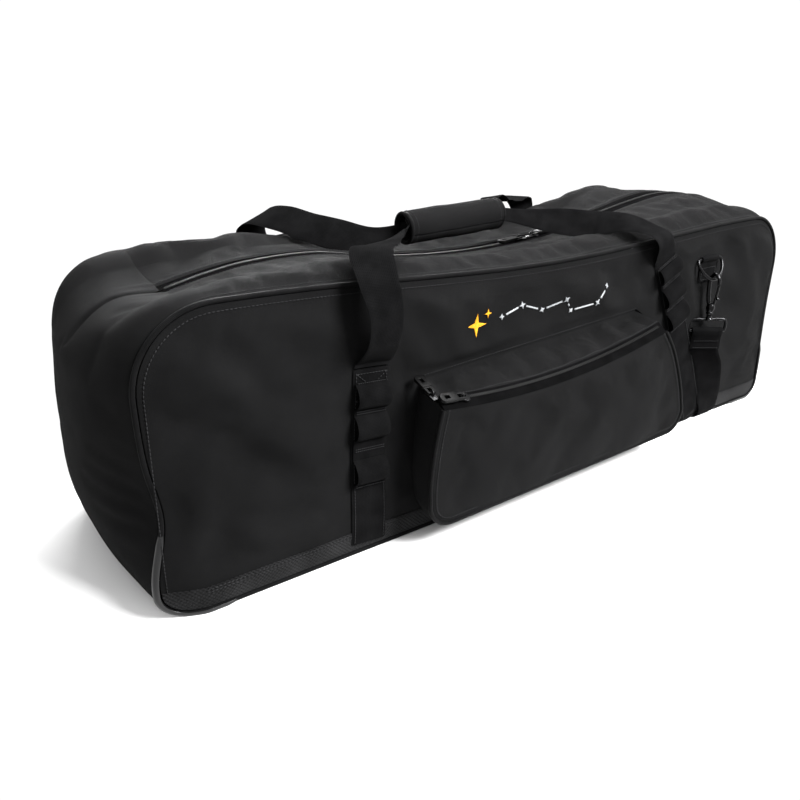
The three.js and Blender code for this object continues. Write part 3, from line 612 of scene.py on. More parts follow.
def drape(points, held, pressure, slack, most, away):
    """Lets a grid of cloth settle. held is 1 where it is sewn down, slack is its spare length,
    and most is how far a point may move."""
    n, m = points.shape[:2]
    quads = grid_faces(n, m)
    normal = grid_normals(points, away)
    raw = np.cross(np.gradient(points, axis=0), np.gradient(points, axis=1))
    if np.sum(raw * normal) < 0:
        quads = quads[:, ::-1]
    mesh = bpy.data.meshes.new("settling")
    mesh.from_pydata((points.reshape(-1, 3) * MM).tolist(), [], quads.tolist())
    piece = new_object("settling", mesh)
    group = piece.vertex_groups.new(name="sewn")
    weights = held.reshape(-1)
    for i in np.flatnonzero(weights > 0.02):
        group.add([int(i)], float(weights[i]), "REPLACE")
    cloth = piece.modifiers.new("cloth", "CLOTH")
    for setting, value in CLOTH.items():
        setattr(cloth.settings, setting, value)
    cloth.settings.shrink_min = -slack
    cloth.settings.uniform_pressure_force = pressure
    cloth.settings.effector_weights.gravity = 0
    cloth.collision_settings.use_collision = False
    cloth.collision_settings.use_self_collision = False
    cloth.point_cache.frame_start = 1
    cloth.point_cache.frame_end = SETTLING_FRAMES
    for step in range(1, SETTLING_FRAMES + 1):
        bpy.context.scene.frame_set(step)
    shape = piece.evaluated_get(bpy.context.evaluated_depsgraph_get()).data
    settled = np.empty(n * m * 3)
    shape.vertices.foreach_get("co", settled)
    bpy.data.objects.remove(piece)
    bpy.context.scene.frame_set(1)
    move = settled.reshape(n, m, 3) / MM - points
    far = np.linalg.norm(move, axis=2, keepdims=True)
    return points + move * np.minimum(1, most / np.maximum(far, 1e-9))


# ---------- the case's own surfaces ----------
STRAP_RISE = 250  # the height over which a strap leans from its foot to its top
# foot and top are where a strap's middle is along the case, sewn and loops are heights up it
STRAPS = {
    "front_left": {"foot": -246, "top": -228, "sewn": 184, "loops": (159, 129, 86)},
    "front_right": {"foot": 291, "top": 172, "sewn": 232, "loops": (222, 192, 161)},
    "rear_left": {"foot": -246, "top": -208, "sewn": 232, "loops": ()},
    "rear_right": {"foot": 250, "top": 196, "sewn": 232, "loops": ()},
}


def strap_x(name, z):
    """Where a strap's middle is along the case, at a height."""
    fit = STRAPS[name]
    return fit["foot"] + (fit["top"] - fit["foot"]) * z / STRAP_RISE


def strap_lean(name):
    """Across a strap, square to its length."""
    return np.array([STRAP_RISE, 0, STRAPS[name]["foot"] - STRAPS[name]["top"]], float)


def edge_height(x):
    """The top seam of a panel, which sags in the middle."""
    half = HALF - TOP_CORNER
    return HEIGHT - TOP_SAG * (0.5 + 0.5 * np.cos(math.pi * np.clip(x / half, -1, 1)))


ZIP_DIP_X, ZIP_DIP_Z = -20, 246  # the lowest place of the main zip
ZIP_SPREAD = 2042  # twice the radius of its arc


def zip_arc(x):
    """The middle of the main zip, as one arc that the sliders run on."""
    return ZIP_DIP_Z + (x - ZIP_DIP_X) ** 2 / ZIP_SPREAD


ZIP_POINTS = [(-410, 240), (-379, 247), (-336, 257), (-290, 264)]
ZIP_POINTS += [(x, zip_arc(x)) for x in (-217, -150, -80, 0, 80, 140, 195)]
ZIP_POINTS += [(260, 280), (320, 287), (379, 284), (410, 280)]
ZIP_LINE = line_through(ZIP_POINTS, 400)


def zip_height(x):
    """The main zip's whole line, from under one end's edge to the other's."""
    return np.interp(x, ZIP_LINE[:, 0], ZIP_LINE[:, 1])


def top_height(x, y):
    """The top between a panel's seam and the zip, with a soft roll beside the seam."""
    inward = 1 - np.abs(y) / DEEP
    roll = 7 * np.sin(math.pi * np.minimum(1, inward * 2.2))
    return mix(edge_height(x), zip_height(x), smooth(inward)) + roll


def settle(points):
    """How the seams themselves give: the end seams are drawn in above the floor corners."""
    x, y, z = np.moveaxis(points, -1, 0)
    seam = near(np.abs(y) - DEEP, 34) * (y < 0)
    left = near(z - 92, 40) * near(x + HALF, 46) * seam
    right = near(x - HALF, 60) * seam * (smooth((z - 40) / 120) * 6 - 3 * near(z - 20, 40))
    moved = points.copy()
    corner = near(z - 34, 34) * near(x + HALF, 40) * seam
    moved[..., 0] += 9 * left - right - 4 * corner
    moved[..., 1] += 2.5 * left
    return moved


def foot_height(x):
    """The seam along the foot rises over the shoulder strap, on the side where it crosses."""
    return PIPING + 2.8 * smooth((33 - np.abs(x - STRAP_CROSSING)) / 10)


def side_edge(side, inset):
    """The upright edge of a panel and its two corners, from the foot up."""
    low_arc = arc(side * (HALF - FLOOR_CORNER), PIPING + FLOOR_CORNER, FLOOR_CORNER - inset,
                  -90, 0 if side > 0 else -180)
    high_arc = arc(side * (HALF - TOP_CORNER), HEIGHT - TOP_CORNER, TOP_CORNER - inset,
                   0 if side > 0 else 180, 90)
    return np.vstack([low_arc, high_arc])


def foot_edge(inset):
    """The edge along a panel's foot, from left to right."""
    x = np.linspace(-HALF + FLOOR_CORNER, HALF - FLOOR_CORNER, 160)
    return joined(x, foot_height(x) + inset)


def top_edge(inset):
    """The edge along a panel's top, from left to right."""
    x = np.linspace(-HALF + TOP_CORNER, HALF - TOP_CORNER, 80)
    return joined(x, edge_height(x) - inset)


def loop_edge(side, inset):
    """The whole outline of a panel, once round."""
    loop = np.vstack([foot_edge(inset)[:-1], side_edge(1, inset)[:-1], top_edge(inset)[::-1][:-1],
                      side_edge(-1, inset)[::-1][:-1]])
    return loop if side < 0 else loop * FLIP


def inside(x, z):
    """How far a point of a panel is from its outline."""
    upper = z > HALF_WAY_UP
    corner = np.where(upper, TOP_CORNER, FLOOR_CORNER)
    dx = np.abs(x) - (HALF - corner)
    dz = np.where(upper, corner - (edge_height(x) - z), corner - (z - PIPING))
    reach = np.hypot(np.maximum(dx, 0), np.maximum(dz, 0)) + np.minimum(np.maximum(dx, dz), 0)
    return np.maximum(corner - reach, 0)


def straps_on(side):
    return ("front_left", "front_right") if side < 0 else ("rear_left", "rear_right")


def foot_bulge(x, z, side):
    """The foot of the front is pushed out over the base by what lies in the case."""
    if side > 0:
        return 3 * (1 - smooth(z / 90)) * smooth((HALF - np.abs(x)) / 40)
    along = smooth((x + HALF - 4) / 34) * smooth((262 - x) / 130)
    return 10.5 * along * (1 - smooth((z - 6) / 120))


def free_cloth(x, z, side):
    """1 where a panel's cloth is free to move over its foam, 0 where something is sewn to it."""
    free = smooth((inside(x, z) - 4) / 22) * smooth((z - KICK - 4) / 18)
    for name in straps_on(side):
        free = free * smooth((np.abs(x - strap_x(name, z)) - 19) / 22)
    free = free * (1 - near(x + side * RING_X, 26) * near(z - 206, 34))
    if side < 0:
        pocket = smooth((176 + LID_SLOPE * x - z) / 10 + 1) * smooth((x + 196) / 14) * smooth((196 - x) / 14)
        free = free * (1 - pocket)
    return free


FRONT_FOLDS = (  # x, z, slope, breadth, reach and depth of each soft fold of the front
    (-395, 165, -0.75, 15, 80, -5.0), (-375, 195, -0.7, 18, 85, 3.6), (-330, 205, -0.45, 20, 80, -3.6),
    (-330, 140, -0.8, 24, 90, 3.4), (-300, 90, -0.6, 26, 90, -3.2), (-385, 80, 1.15, 18, 60, -3.8),
    (-405, 105, 1.2, 16, 60, 3.0), (330, 110, -1.1, 20, 80, -3.4), (375, 150, -1.2, 22, 90, 3.0),
    (60, 235, 0.1, 14, 120, -1.8), (-150, 225, -0.3, 16, 70, 2.0),
)


def panel_out(x, z, side):
    """How far a panel's face stands out of its seam. side is -1 for the front, 1 for the rear."""
    full = 5.5 * (1 - np.exp(-inside(x, z) / 17))
    for name in straps_on(side):
        full = full * (1 - 0.38 * near(x - strap_x(name, z), 26))
    ring = near(x + side * RING_X, 40) * near(z - 205, 50)
    swell = 2.6 * ripples(x, z * 1.5, 190.0, 11 if side < 0 else 12)
    fold = 1.2 * ripples(x, z, 60.0, 21 if side < 0 else 22, slant=0.9, spread=1.2)
    if side < 0:
        for fold_x, fold_z, slope, broad, reach, depth in FRONT_FOLDS:
            c, s = math.cos(slope), math.sin(slope)
            across = (z - fold_z) * c - (x - fold_x) * s
            along = (x - fold_x) * c + (z - fold_z) * s
            swell = swell + depth * near(across, broad) * near(along, reach)
    free = free_cloth(x, z, side) * (swell + fold + 1.5)
    return full * (1 - 0.62 * ring) + 0.2 + free + foot_bulge(x, z, side)


def panel_y(x, z, side):
    """The depth of a panel's face."""
    return side * (DEEP + panel_out(x, z, side))


def on_panel(x, z, side, over=0.0):
    """Points on a panel's face, or over it by some length."""
    return joined(x, panel_y(x, z, side) + side * over, z)


def panel_grid(side):
    """The face of a panel. The front one dips and swells in the places where the foam has given."""
    flat = patch(foot_edge(PIPING), top_edge(PIPING), side_edge(-1, PIPING), side_edge(1, PIPING), 170, 62)
    if side > 0:
        flat = flat[::-1] * FLIP
    x, z = np.moveaxis(flat, -1, 0)
    points = on_panel(x, z, side)
    free = free_cloth(x, z, side)
    if side < 0:
        free = free * (1 - near(x + 20, 150) ** 4 * near(z - 206, 24))
    points = drape(points, 1 - free, 1.6, 0.007, 5.0, (0, side, 0))
    return settle(points), flat


def add_panel(label, side):
    """A padded panel with its piping, the coarse strip along its foot and its stitching."""
    points, flat = panel_grid(side)
    cover = sheet(f"{label}_panel_cover", points, (0, side, 0), CANVAS, lengths=flat)
    put(refine(cover), "case", f"{label}_panel")

    x, z = loop_edge(side, 0).T
    line = joined(x, side * (DEEP + foot_bulge(x, z, side)), z)
    line = settle(resample(np.vstack([line, line[:1]]), 620)[:-1])
    cord = tube(f"{label}_piping_cord", line, PIPING, CORD, BACK, sides=14, closed=True)
    put(cord, "case", f"{label}_piping")

    reach = math.degrees(math.acos((PIPING + FLOOR_CORNER - KICK) / FLOOR_CORNER))
    inset = PIPING + 1.2
    ends = [arc(s * (HALF - FLOOR_CORNER), PIPING + FLOOR_CORNER, FLOOR_CORNER - inset,
                -90, -90 + s * reach, 8) for s in (-1, 1)]
    upper = joined(np.linspace(ends[0][-1, 0], ends[1][-1, 0], 60), KICK)
    strip = patch(foot_edge(inset), upper, ends[0], ends[1], 220, 8)
    if side > 0:
        strip = strip[::-1] * FLIP
    points = settle(on_panel(*np.moveaxis(strip, -1, 0), side, 0.9))
    kick = sheet(f"{label}_kick_strip", points, (0, side, 0), COARSE, thick=1.0, lengths=strip)
    put(kick, "case", f"{label}_kick_band")

    x = np.linspace(-406, 406, 200)
    rows = [on_panel(x, np.full(200, KICK - down), side, 1.1) for down in (2.6, 5.4)]
    rows.append(on_panel(*loop_edge(side, 7.5).T, side, 0.25))
    rows = [(settle(row), (0, side, 0)) for row in rows]
    put(stitch_rows(f"{label}_panel_stitching", rows), "case")


def add_guard(side, node):
    """A moulded vinyl half sleeve round the piping at a lower corner of the front."""
    bend_line = np.vstack([
        [[side * HALF, PIPING + FLOOR_CORNER + 55]],
        arc(side * (HALF - FLOOR_CORNER), PIPING + FLOOR_CORNER, FLOOR_CORNER, 0 if side > 0 else 180,
            -90 if side > 0 else 270, 24),
        [[side * (HALF - FLOOR_CORNER - 38), PIPING]],
    ])
    x, z = resample(bend_line, 60).T
    line = joined(x, -DEEP - foot_bulge(x, z, -1), z)
    outward = np.cross(directions(line), BACK) * side
    # the sleeve goes less far round where the case stands on it
    furthest = mix(1.9, 0.62, np.clip(np.abs(outward[:, 2]), 0, 1))
    angle = mix(-0.45, furthest[:, None], np.linspace(0, 1, 13)[None])
    taper = smooth(np.minimum(np.arange(61), 60 - np.arange(61)) / 4)[:, None]
    reach = mix(PIPING + 0.35, PIPING + 1.5, taper)
    points = line[:, None] + outward[:, None] * (reach * np.sin(angle))[..., None]
    points = points - np.array(BACK) * (reach * np.cos(angle))[..., None]
    sleeve = sheet(node + "_sleeve", settle(points), (0, -1, 0), VINYL, thick=1.1)
    put(refine(sleeve), "case", node)


SPLIT = -10  # where the left and right halves of the top meet
TOP_REACH = ZIP_HALF + 6  # the top runs in under the end's edge
TOP_CELLS = 252
# where the closed zip starts to part, and where the flap is free of it
OPENINGS = {"left": (-225, -80), "right": (203, 60)}


def lips(y):
    """The raised edges of the cloth beside the zip and the piping's seam."""
    return 1.4 * near(np.abs(y) - ZIP_TAPE - 4, 4) - 1.0 * near(np.abs(y) - DEEP + 8.5, 3)


def end_bulge(side, y, z):
    """How far an end stands out of its seams at a height, most in the middle of its depth."""
    heights, reach = np.array(END_BULGE, float).T
    crown = 1 - (y / DEEP) ** 2
    return np.interp(z, heights, reach) * crown * (1 if side < 0 else RIGHT_BULGE)


def add_end(label, side):
    """The padded band round an end, drawn up in soft folds where the seam gives."""
    upper = TOP_CORNER * math.pi / 2
    upright = HEIGHT - TOP_CORNER - FLOOR_CORNER - PIPING
    lower = FLOOR_CORNER * math.pi / 2
    start = side * (HALF - TOP_CORNER)
    u = np.linspace(0, 1, 91)[:, None]
    t = np.linspace(-1, 1, 57)[None] * np.ones((91, 1))
    y = (DEEP - PIPING - 0.3) * np.sign(t) * np.abs(t) ** 1.3
    along = u * (upper + upright + lower)
    first = np.minimum(along / TOP_CORNER, math.pi / 2)
    second = np.clip((along - upper - upright) / FLOOR_CORNER, 0, math.pi / 2)
    down = np.clip(along - upper, 0, upright)
    turn = math.pi / 2 - first - second
    corner = np.where(second > 0, FLOOR_CORNER, TOP_CORNER)
    outward = joined(side * np.cos(turn), 0, np.sin(turn))
    base = joined(side * (HALF - corner), y, HEIGHT - TOP_CORNER - down)
    base = base + outward * corner[..., None]
    push = end_bulge(side, y, base[..., 2]) * smooth(u / 0.32)
    swell = mix(top_height(start, y) - HEIGHT, 0, smooth(u / 0.4))
    swell = swell + 7 * (1 - (y / DEEP) ** 2) * near(along - 55, 34)
    swell = swell + 0.3 + (lips(y) - 0.2) * smooth((0.12 - u) / 0.12)
    free = smooth(np.minimum(DEEP - np.abs(y), 30) / 24)
    free = free * smooth((u - 0.02) / 0.1) * smooth((0.97 - u) / 0.12)
    waves = 1.7 * ripples(along * 1.3, y, 170.0, 31 + side)
    folds = 1.3 * ripples(along, y * 0.5, 30.0, 41 + side, slant=0.15, spread=0.6)
    pinch = near(along - 205, 34) * near(y + DEEP - 12, 40)
    seam = -3.4 * near(y + 1.5, 4.2) * smooth((0.25 - u) / 0.05)
    out = swell + free * (waves + folds * (0.06 + 1.9 * pinch)) + seam
    points = base + outward * out[..., None]
    points[..., 0] += side * push
    points = drape(points, 1 - free, 0.7, 0.006, 3.0, (side, 0, 0))
    cover = sheet(f"{label}_end_cover", settle(points), (side, 0, 0.2), CANVAS)
    put(refine(cover), "case", f"{label}_end_gusset")


def top_grid(side):
    """Half of the top as a grid, and how free its cloth is."""
    x = np.linspace(-TOP_REACH, TOP_REACH, TOP_CELLS + 1)[:, None]
    y = np.linspace(DEEP - PIPING - 0.3, ZIP_TAPE - 1.5, 27)[None]
    inward = 1 - y / DEEP
    z = top_height(x, y) + 0.3
    free = smooth(inward * 7) * smooth((0.86 - inward) / 0.12)
    ends = smooth((ZIP_HALF - np.abs(x)) / 26)
    z = z + 3.5 * near(y - DEEP + 34, 20) * ends
    if side > 0:
        z = z + 15 * near(x - 285, 60) * near(y - 66, 40) * ends
    z = z + free * ends * (1.6 * ripples(x, y, 120.0, 51 + side) + 0.9 * ripples(x, y, 42.0, 61 + side))
    return joined(x, side * y, z + lips(y)), free * ends


def add_top(label, side):
    """Half of the quilted top with its zip tape, coil and stitching, split at its middle."""
    points, free = top_grid(side)
    points = drape(points, 1 - free, 1.2, 0.008, 3.0, UP)
    points[..., 2] -= 0.6 * smooth((np.abs(points[..., 0]) - ZIP_HALF) / 2)
    split = int(round((SPLIT + TOP_REACH) / (2 * TOP_REACH) * TOP_CELLS))
    coil_x = np.arange(-ZIP_HALF + 3, ZIP_HALF - 2, 2.1)
    for half, piece in (("left", points[:split + 1]), ("right", points[split:])):
        opening = f"{label}_flap", *((x, 0, 250) for x in OPENINGS[half])
        top = sheet(f"{label}_top_{half}", piece, UP, CANVAS, thick=3.6)
        bend(top, *opening, f"{label}_top_flap")
        x = piece[:, 0, 0][:, None]
        y = side * np.linspace(ZIP_TAPE + 1, 0.9, 7)[None]
        z = top_height(x, 0) - 0.4 - 0.7 * near(np.abs(y) - ZIP_TAPE, 5) + 0.5 * near(y, 4)
        tape = sheet(f"{label}_zip_{half}", joined(x, y, z), UP, TAPE, thick=1.0)
        bend(tape, *opening, f"{label}_zip_tape")
        inside_x = coil_x[(coil_x >= x[0, 0]) & (coil_x < x[-1, 0])]
        bend(coil_teeth(f"{label}_coil_{half}", inside_x, side), *opening)
        rows = [(piece[:, k] + np.array([0, 0, 0.1]), UP) for k in (1, 25)]
        bend(stitch_rows(f"{label}_top_stitching_{half}", rows), *opening)


def coil_teeth(name, places, side):
    """The nylon coil along one edge of a zip tape, as a tooth for each turn."""
    reach = np.array([[-0.75, 0.3], [-0.75, 3.3], [0.75, 3.3], [0.75, 0.3]])
    shift = 1.05 if side > 0 else 0.0
    corners, faces = [], []
    for i, x in enumerate(places + shift):
        z = zip_height(x) + 0.25
        for height, slim in ((0.0, 1.0), (0.8, 1.0), (1.15, 0.6)):
            for dx, dy in reach:
                corners.append([x + dx * slim, side * (1.8 + (dy - 1.8) * slim) - side * 0.9, z + height])
        b = i * 12
        for level in (0, 4):
            for k in range(4):
                j = (k + 1) % 4
                faces.append([b + level + k, b + level + j, b + level + 4 + j, b + level + 4 + k])
        faces.append([b, b + 1, b + 2, b + 3])
        faces.append([b + 8, b + 9, b + 10, b + 11])
    points = np.array(corners)
    return make(name, points, faces, points[:, :2], COIL)


def add_bottom():
    """The coarse sheet under the case, bowed out at its ends and its front as they are."""
    u = np.linspace(-1, 1, 121)[:, None]
    v = np.linspace(-1, 1, 41)[None]
    wide = DEEP - PIPING - 0.8
    x = u * (HALF - FLOOR_CORNER)
    z = 3.4 + 0.5 * ripples(x, v * wide, 90.0, 71)
    front = foot_bulge(x, 0, -1) * np.maximum(-v, 0) ** 5
    ends = np.where(u < 0, end_bulge(-1, v * wide, 0), end_bulge(1, v * wide, 0))
    x = x + u ** 15 * (0.8 + ends)
    points = joined(x, v * wide - front, z)
    cover = sheet("bottom_cover", points, (0, 0, -1), COARSE)
    put(cover, "case", "bottom_panel")


# ---------- straps ----------
def add_panel_strap(name):
    """A strap sewn up a panel, with two long rows and a crossed box at its top."""
    end, hand = name.split("_")
    side = -1 if end == "front" else 1
    sewn = STRAPS[name]["sewn"]
    z = np.linspace(12, sewn, 90)
    lean = strap_lean(name)
    line = on_panel(strap_x(name, z), z, side, 2.1)
    strap = ribbon(f"{end}_strap_{hand}_webbing", line, np.tile(lean, (90, 1)))
    put(strap, "case", f"{end}_strap_{hand}")
    lean = unit(lean)

    def row(across, up):
        """Stitches on the strap: how far they are across from its middle, and how far up it."""
        on_strap = on_panel(strap_x(name, up), up, side, 3.15)
        return on_strap + np.asarray(across, float)[..., None] * lean, (0, side, 0)

    rows = [row(across, np.linspace(14, sewn - 3, 50)) for across in (-16.2, 16.2)]
    top = sewn - 4
    rows += [row(np.linspace(-16, 16, 8), np.full(8, up)) for up in (top, top - 26)]
    t = np.linspace(0, 1, 10)
    rows += [row(mix(-way, way, t), top - 26 * t) for way in (16, -16)]
    put(stitch_rows(f"{end}_strap_{hand}_stitching", rows, pitch=3.0), "case")


def add_lash_ladder(name):
    """Webbing sewn down between the lash loops that stand out of it."""
    loops, sewn = np.array(STRAPS[name]["loops"], float), STRAPS[name]["sewn"]
    z = np.linspace(loops.min() - 15, min(loops.max() + 13, sewn - 1), 190)
    nearest = np.abs(z[:, None] - loops[None]).min(axis=1)
    rise = 11.5
    swell = np.where(nearest < rise, np.cos(np.minimum(nearest / rise, 1) * math.pi / 2) ** 0.55, 0)
    line = on_panel(strap_x(name, z), z, -1, 4.3 + 8.2 * swell)
    line[:, 2] -= 2.2 * swell
    lean = strap_lean(name)
    hand = name.split("_")[1]
    ladder = ribbon(f"{hand}_lash_loops", line, np.tile(lean, (190, 1)), width=WEBBING - 3, thick=1.7,
                    soft=0.25, seed=5)
    put(ladder, "case", f"{hand}_lash_ladder")
    across = np.linspace(-16, 16, 14)[:, None] * unit(lean)
    tacks = []
    edges = [loops.min() - 13.2, loops.max() + min(12, sewn - 2 - loops.max())]
    gaps = [(a + b) / 2 for a, b in zip(loops[:-1], loops[1:])]
    for height in edges + gaps:
        for lift in (-1.1, 1.1):
            x = strap_x(name, height + lift)
            tack = np.array([x, panel_y(x, height, -1) - 5.35, height + lift])
            tacks.append((tack + across, (0, -1, 0)))
    put(stitch_rows(f"{hand}_lash_tacks", tacks, pitch=2.0, size=0.5), "case")


# each arm's line from its strap up to the grip, and the direction of its width at those points
ARMS = {
    "front_left": (
        [(-232.5, -124.4, 186), (-230, -133, 194), (-228, -143, 212), (-229, -147, 236),
         (-235, -145, 264), (-232, -128, 286), (-196, -88, 285), (-150, -40, 279), (-108, -8, 277)],
        [(0.98, 0, -0.07), (0.98, 0.04, -0.07), (0.97, 0.12, -0.07), (0.97, 0.1, -0.07),
         (0.97, -0.1, -0.05), (0.88, -0.45, 0), (0.74, -0.6, 0.1), (0.6, -0.65, 0.45),
         (0.1, -0.5, 0.85)],
    ),
    "front_right": (
        [(180, -124.4, 234), (174, -130, 244), (164, -134, 259), (150, -124, 271),
         (134, -100, 277), (114, -66, 273), (80, -30, 275), (27, -8, 284)],
        [(0.9, 0, 0.43), (0.9, 0.1, 0.4), (0.87, 0.3, 0.3), (0.74, 0.56, 0.25),
         (0.56, 0.62, 0.4), (0.45, 0.5, 0.6), (0.34, 0.48, 0.72), (0.1, 0.5, 0.85)],
    ),
    "rear_left": (
        [(-210.4, 124.4, 234), (-216, 129, 250), (-224, 131, 270), (-220, 120, 287),
         (-204, 92, 287), (-182, 58, 278), (-144, 24, 268), (-108, 8, 274)],
        [(0.98, 0, -0.16), (0.98, 0, -0.1), (0.95, 0.12, 0), (0.85, 0.25, 0.3),
         (0.7, 0.35, 0.55), (0.58, 0.36, 0.68), (0.4, 0.4, 0.78), (0.1, 0.5, 0.85)],
    ),
    "rear_right": (
        [(200, 124.4, 234), (200, 130, 250), (194, 131, 268), (172, 118, 281),
         (128, 92, 282), (86, 66, 287), (58, 42, 296), (27, 8, 284)],
        [(0.97, 0, 0.2), (0.97, 0, 0.2), (0.95, -0.2, 0.1), (0.85, -0.5, 0),
         (0.8, -0.6, 0), (0.9, -0.4, 0.05), (0.98, -0.1, 0.1), (0.5, 0.3, 0.8)],
    ),
}


def add_arm(name):
    """One arm of the handle, from the top of its strap to the grip, kept clear of the panel."""
    points, sides = ARMS[name]
    end, hand = name.split("_")
    side = -1 if end == "front" else 1
    steps = 130
    line = line_through(points, steps)
    across = line_through(sides, steps, even=True)
    clear = panel_y(line[:, 0], line[:, 2], side) + side * 3.4
    by_panel = line[:, 2] < edge_height(line[:, 0]) + 2
    pushed = np.maximum(side * line[:, 1], side * clear) * side
    line[:, 1] = np.where(by_panel, pushed, line[:, 1])
    u = np.linspace(0, 1, steps + 1)
    width = mix(WEBBING, 17, smooth((u - 0.78) / 0.22))
    arm = ribbon(f"{end}_handle_{hand}_webbing", line, across, width=width, cup=0.6, soft=0.7,
                 seed=80 + len(name))
    bend(arm, "handle", points[1], points[-1], f"{end}_handle_{hand}")


# ---------- grip ----------
GRIP_TILT = -0.04
GRIP_HEIGHT = 282
GRIP_LONG = 130
GRIP_PARTS = (  # node, body, first and last angle from the top, and thickness
    ("grip_wrap", "handle", -2, 336, 3.0),
    ("grip_flap", "wrap_flap", -111, -7, 4.2),
)


def grip_radius(body, turn):
    """The wrap is thinner where its flap closes over it."""
    if body == "wrap_flap":
        return 17.6
    under = mix(17.5, 12.6, smooth(np.maximum(2 - turn, turn - 246) / 9))
    return np.where((turn > 2) & (turn < 246), 17.5, under)


def grip_shell(body, start, stop):
    """Part of a sleeve round the grip, from start to stop in degrees from its top."""
    turn = np.linspace(start, stop, 61)[None]
    radius = grip_radius(body, turn)
    turn = np.radians(turn)
    u = np.linspace(-0.5, 0.5, 61)[:, None]
    radius = radius * (1 + 0.018 * ripples(u * GRIP_LONG, turn * 18, 38.0, 91))
    radius = radius + 0.9 * (1 - (2 * u) ** 6) - 0.6
    x, z = u * GRIP_LONG, radius * np.cos(turn)
    c, s = math.cos(GRIP_TILT), math.sin(GRIP_TILT)
    middle = (GRIP_LOW[0] + GRIP_HIGH[0]) / 2
    return joined(x * c + z * s + middle, radius * np.sin(turn), z * c - x * s + GRIP_HEIGHT)


def add_grip():
    """The padded wrap and its opening flap, each with its stitching and bound ends."""
    for node, body, start, stop, thick in GRIP_PARTS:
        points = grip_shell(body, start, stop)
        axis = points.mean(axis=1, keepdims=True) * np.array(RIGHT) + np.array([0, 0, GRIP_HEIGHT])
        normal = grid_normals(points, UP)
        if np.sum(normal * (points - axis)) < 0:
            normal = -normal
        cover = sheet(node + "_cover", points, normal[30, 30], CANVAS, thick=thick)
        put(refine(cover), body, node)
        edges = [(k, slice(2, -2)) for k in (3, 57)]
        if body == "wrap_flap":
            edges.append((slice(3, -3), -5))
        rows = [(points[edge] + normal[edge] * 0.1, normal[edge]) for edge in edges]
        put(stitch_rows(node + "_stitching", rows, pitch=2.8), body)
        for k, end in ((0, "left"), (60, "right")):
            rim = points[k] - normal[k] * thick / 2
            put(tube(f"{node}_binding_{end}", rim, thick / 2 + 0.7, CORD, (1, 0, 0.04)), body)


# ---------- pocket ----------
POCKET_LEFT, POCKET_RIGHT = -184, 138  # the ends of its zip
POCKET_FEET = (-197, 24), (191, 30)
POCKET_CORNER = 26
POCKET_DIP_X, POCKET_DIP_Z = -70, 143  # the lowest place of its zip
POCKET_SPREAD = 1730  # twice the radius of that zip's arc
LID_SLOPE = 0.0535  # the seam over the lid rises by this to the right
LID_SPLIT = 82  # the row of the lid's grid where its two halves meet
# where the pocket's zip starts to part, and where the lid is free of it
LID_OPENINGS = {"left": (-184, -125), "right": (136, 70)}
LID_FACING, TAPE_FACING = (0, -0.3, 1), (0, -0.6, 0.8)


def pocket_zip(x):
    """The arc of the pocket's zip, which dips in the middle."""
    return POCKET_DIP_Z + (x - POCKET_DIP_X) ** 2 / POCKET_SPREAD


def pocket_edges(inset):
    """The four edges of the pocket's front: foot, top, left and right."""
    (x0, z0), (x1, z1) = POCKET_FEET
    left = np.vstack([
        arc(x0 + POCKET_CORNER, z0 + POCKET_CORNER, POCKET_CORNER - inset, 270, 180, 12),
        line_through([(x0 + inset, 50), (x0 + inset, 70), (-192 + inset, 110),
                      (POCKET_LEFT + inset, pocket_zip(POCKET_LEFT) - 5)], 24)[1:],
    ])
    right = np.vstack([
        arc(x1 - POCKET_CORNER, z1 + POCKET_CORNER, POCKET_CORNER - inset, -90, 0, 12),
        line_through([(x1 - inset, 56), (180 - inset, 90), (158 - inset, 136),
                      (POCKET_RIGHT - inset, pocket_zip(POCKET_RIGHT) - 5)], 24)[1:],
    ])
    x = np.linspace(x0 + POCKET_CORNER, x1 - POCKET_CORNER, 40)
    foot = joined(x, np.linspace(z0 + inset, z1 + inset, 40))
    x = np.linspace(POCKET_LEFT + inset, POCKET_RIGHT - inset, 60)
    return foot, joined(x, pocket_zip(x) - 4), left, right


def pocket_loop(inset):
    """Down the pocket's left edge, along its foot and up the right."""
    foot, _, left, right = pocket_edges(inset)
    return np.vstack([left[::-1][:-1], foot[:-1], right])


def at_panel(x, z):
    """Where a point of the pocket's edge is sewn to the panel."""
    return 0.965 * x + 3, z + 0.16 * np.maximum(0, z - 40)


def lid_seam(x):
    """The seam that holds the pocket's lid to the panel."""
    return 171.5 + LID_SLOPE * x


def add_pocket_front():
    flat = patch(*pocket_edges(1.6), 110, 44)
    x, z = np.moveaxis(flat, -1, 0)
    u = np.linspace(0, 1, 111)[:, None]
    v = np.linspace(0, 1, 45)[None]
    free = smooth(u * 12) * smooth((1 - u) * 12) * smooth(v * 8) * smooth((1 - v) * 9)
    body = (4 * u * (1 - u)) ** 0.7 * (4 * v * (1 - v)) ** 0.6
    waves = 1.5 * ripples(x, z, 120.0, 101) + 0.8 * ripples(x, z, 44.0, 102)
    points = joined(x, POCKET_Y - 0.4 - 3.5 * body - free * waves, z)
    points = drape(points, 1 - free, 1.0, 0.006, 4.0, (0, -1, 0))
    face = sheet("pocket_face", points, (0, -1, 0), CANVAS, thick=1.4, lengths=flat)
    put(refine(face), "case", "pocket_front")


